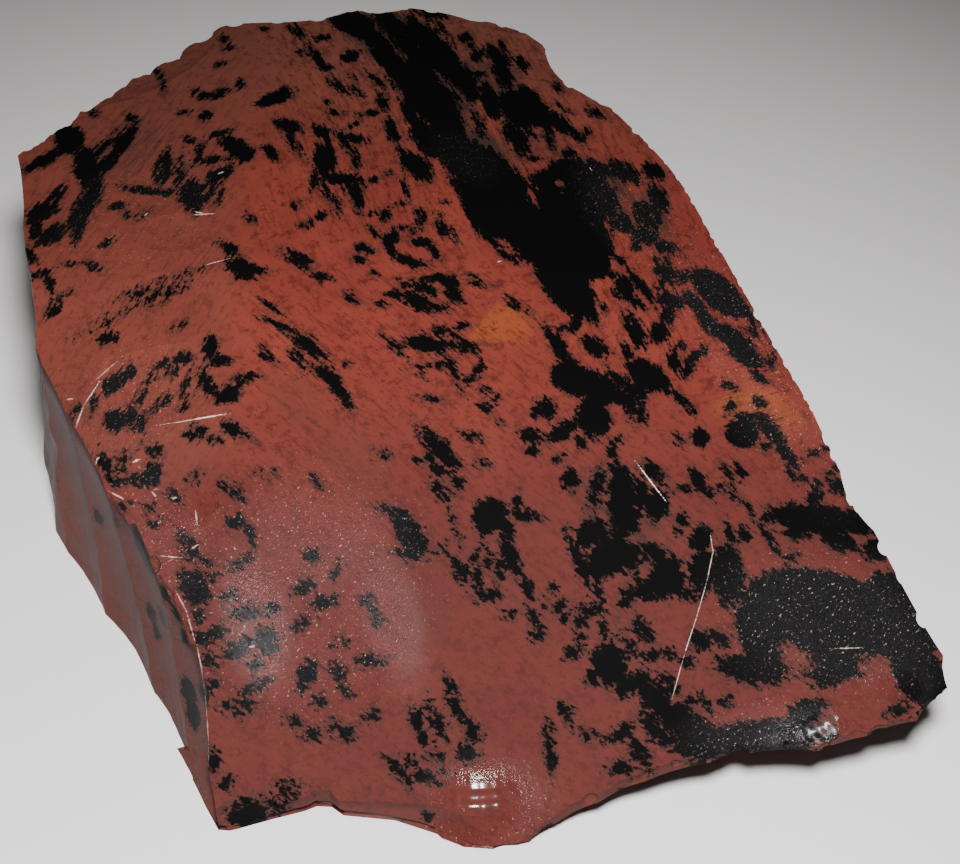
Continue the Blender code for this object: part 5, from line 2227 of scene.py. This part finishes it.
@dataclass(frozen=True)
class Studio:
    """The camera over the stone, two small lamps close above its lens, and a dim grey room.
    Places are in mm, with the stone's box standing on its origin."""

    elevation: float = 48.0
    distance: float = 285.0
    aim: tuple[float, float, float] = (2.7, -6.7, 14.0)
    frame_width: float = 101.4
    sensor: float = 36.0
    clip_start: float = 10.0
    lamp_beam: float = 69.5
    lamp_aim: tuple[float, float, float] = (-6.0, -82.0, 0.0)
    key_size: float = 50.0
    key_power: float = 9.6
    key_shift: tuple[float, float] = (12.0, 62.0)
    shine_size: float = 16.0
    shine_power: float = 0.6
    shine_shift: tuple[float, float] = (-40.0, 8.0)
    room: float = 0.025
    room_from: float = 0.1
    table_glow: float = 0.35
    table_to: float = -0.3
    floor_size: float = 4000.0

    def view(self) -> tuple[Vector, Vector, Vector]:
        """Where the camera is, which way it looks and which way is up in its picture.

        Returns:
            The place, the line of sight and the way up.
        """
        tilt = math.radians(self.elevation)
        sight = Vector((0, math.cos(tilt), -math.sin(tilt)))
        up = Vector((0, math.sin(tilt), math.cos(tilt)))
        return Vector(self.aim) - sight * self.distance, sight, up

    def camera(self) -> None:
        """The camera, level and without any blur."""
        place, sight, _ = self.view()
        data = bpy.data.cameras.new("camera")
        data.sensor_width = self.sensor
        data.lens = self.sensor * self.distance / self.frame_width
        data.clip_start = self.clip_start * MM
        camera = bpy.data.objects.new("camera", data)
        camera.location = place * MM
        camera.rotation_euler = sight.to_track_quat("-Z", "Y").to_euler()
        bpy.context.scene.collection.objects.link(camera)
        bpy.context.scene.camera = camera

    def lamp(
        self, name: str, size: float, power: float, shift: tuple[float, float]
    ) -> bpy.types.Object:
        """A round lamp close beside the lens, with a beam that fades outwards.

        Args:
            name: what the lamp is called.
            size: how wide it is, in mm.
            power: how strong it is, in watts.
            shift: how far right of the lens and over it the lamp is, in mm.

        Returns:
            The lamp.
        """
        place, _, up = self.view()
        data = bpy.data.lights.new(name, "SPOT")
        data.shadow_soft_size = size / 2 * MM
        data.energy = power
        data.spot_size = math.radians(self.lamp_beam)
        data.spot_blend = 1.0
        lamp = bpy.data.objects.new(name, data)
        lamp.location = (place + Vector((shift[0], 0, 0)) + up * shift[1]) * MM
        aim = Vector(self.lamp_aim) * MM - lamp.location
        lamp.rotation_euler = aim.to_track_quat("-Z", "Y").to_euler()
        bpy.context.scene.collection.objects.link(lamp)
        return lamp

    def light(self) -> None:
        """A soft key that leaves no shine, and a faint lamp that shines in the glass."""
        key = self.lamp("key", self.key_size, self.key_power, self.key_shift)
        key.visible_glossy = False
        shine = self.lamp("shine", self.shine_size, self.shine_power, self.shine_shift)
        shine.visible_diffuse = False

    def floor(self) -> bpy.types.Object:
        """The board that the stone lies on.

        Returns:
            The floor.
        """
        half = self.floor_size / 2
        mesh = bpy.data.meshes.new("floor")
        corners = [(-half, -half, 0), (half, -half, 0), (half, half, 0), (-half, half, 0)]
        mesh.from_pydata([Vector(corner) * MM for corner in corners], [], [(0, 1, 2, 3)])
        mesh.materials.append(PaleBoard().build())
        floor = bpy.data.objects.new("floor", mesh)
        floor.visible_glossy = False
        bpy.context.scene.collection.objects.link(floor)
        return floor

    def surroundings(self) -> None:
        """The dim grey room, paler below the level of the table."""
        world = bpy.data.worlds.new("room")
        world.use_nodes = True
        tree = world.node_tree
        where = add_node(tree, "ShaderNodeTexCoord")
        across = add_node(tree, "ShaderNodeSeparateXYZ", {}, {0: where.outputs["Generated"]})
        height = {"Value": across.outputs[2], "From Min": self.table_to, "From Max": self.room_from}
        span = {"To Min": self.table_glow, "To Max": self.room}
        strength = add_node(tree, "ShaderNodeMapRange", {}, height | span)
        room = tree.nodes["Background"]
        room.inputs["Color"].default_value = (1, 1, 1, 1)
        tree.links.new(strength.outputs[0], room.inputs["Strength"])
        bpy.context.scene.world = world


def main() -> None:
    """Build the stone and the studio round it."""
    logging.basicConfig(level=logging.INFO, format="%(name)s: %(message)s")
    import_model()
    chunk = ObsidianChunk(Crown(), Wall(RIM), MIDDLE)
    stone = chunk.build()
    stone.data.materials.clear()
    stone.data.materials.append(MahoganyObsidian().build(chunk.scratches_and_glints()))
    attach(stone, "root")
    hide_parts("obsidian_chunk")
    LOG.info("stone: %d faces, %d chips", len(stone.data.polygons), len(chunk.chips))
    studio = Studio()
    studio.camera()
    studio.light()
    studio.surroundings()
    floor = studio.floor()
    LOG.info("studio: camera, two lamps, room and %s", floor.name)


if __name__ == "__main__":
    main()
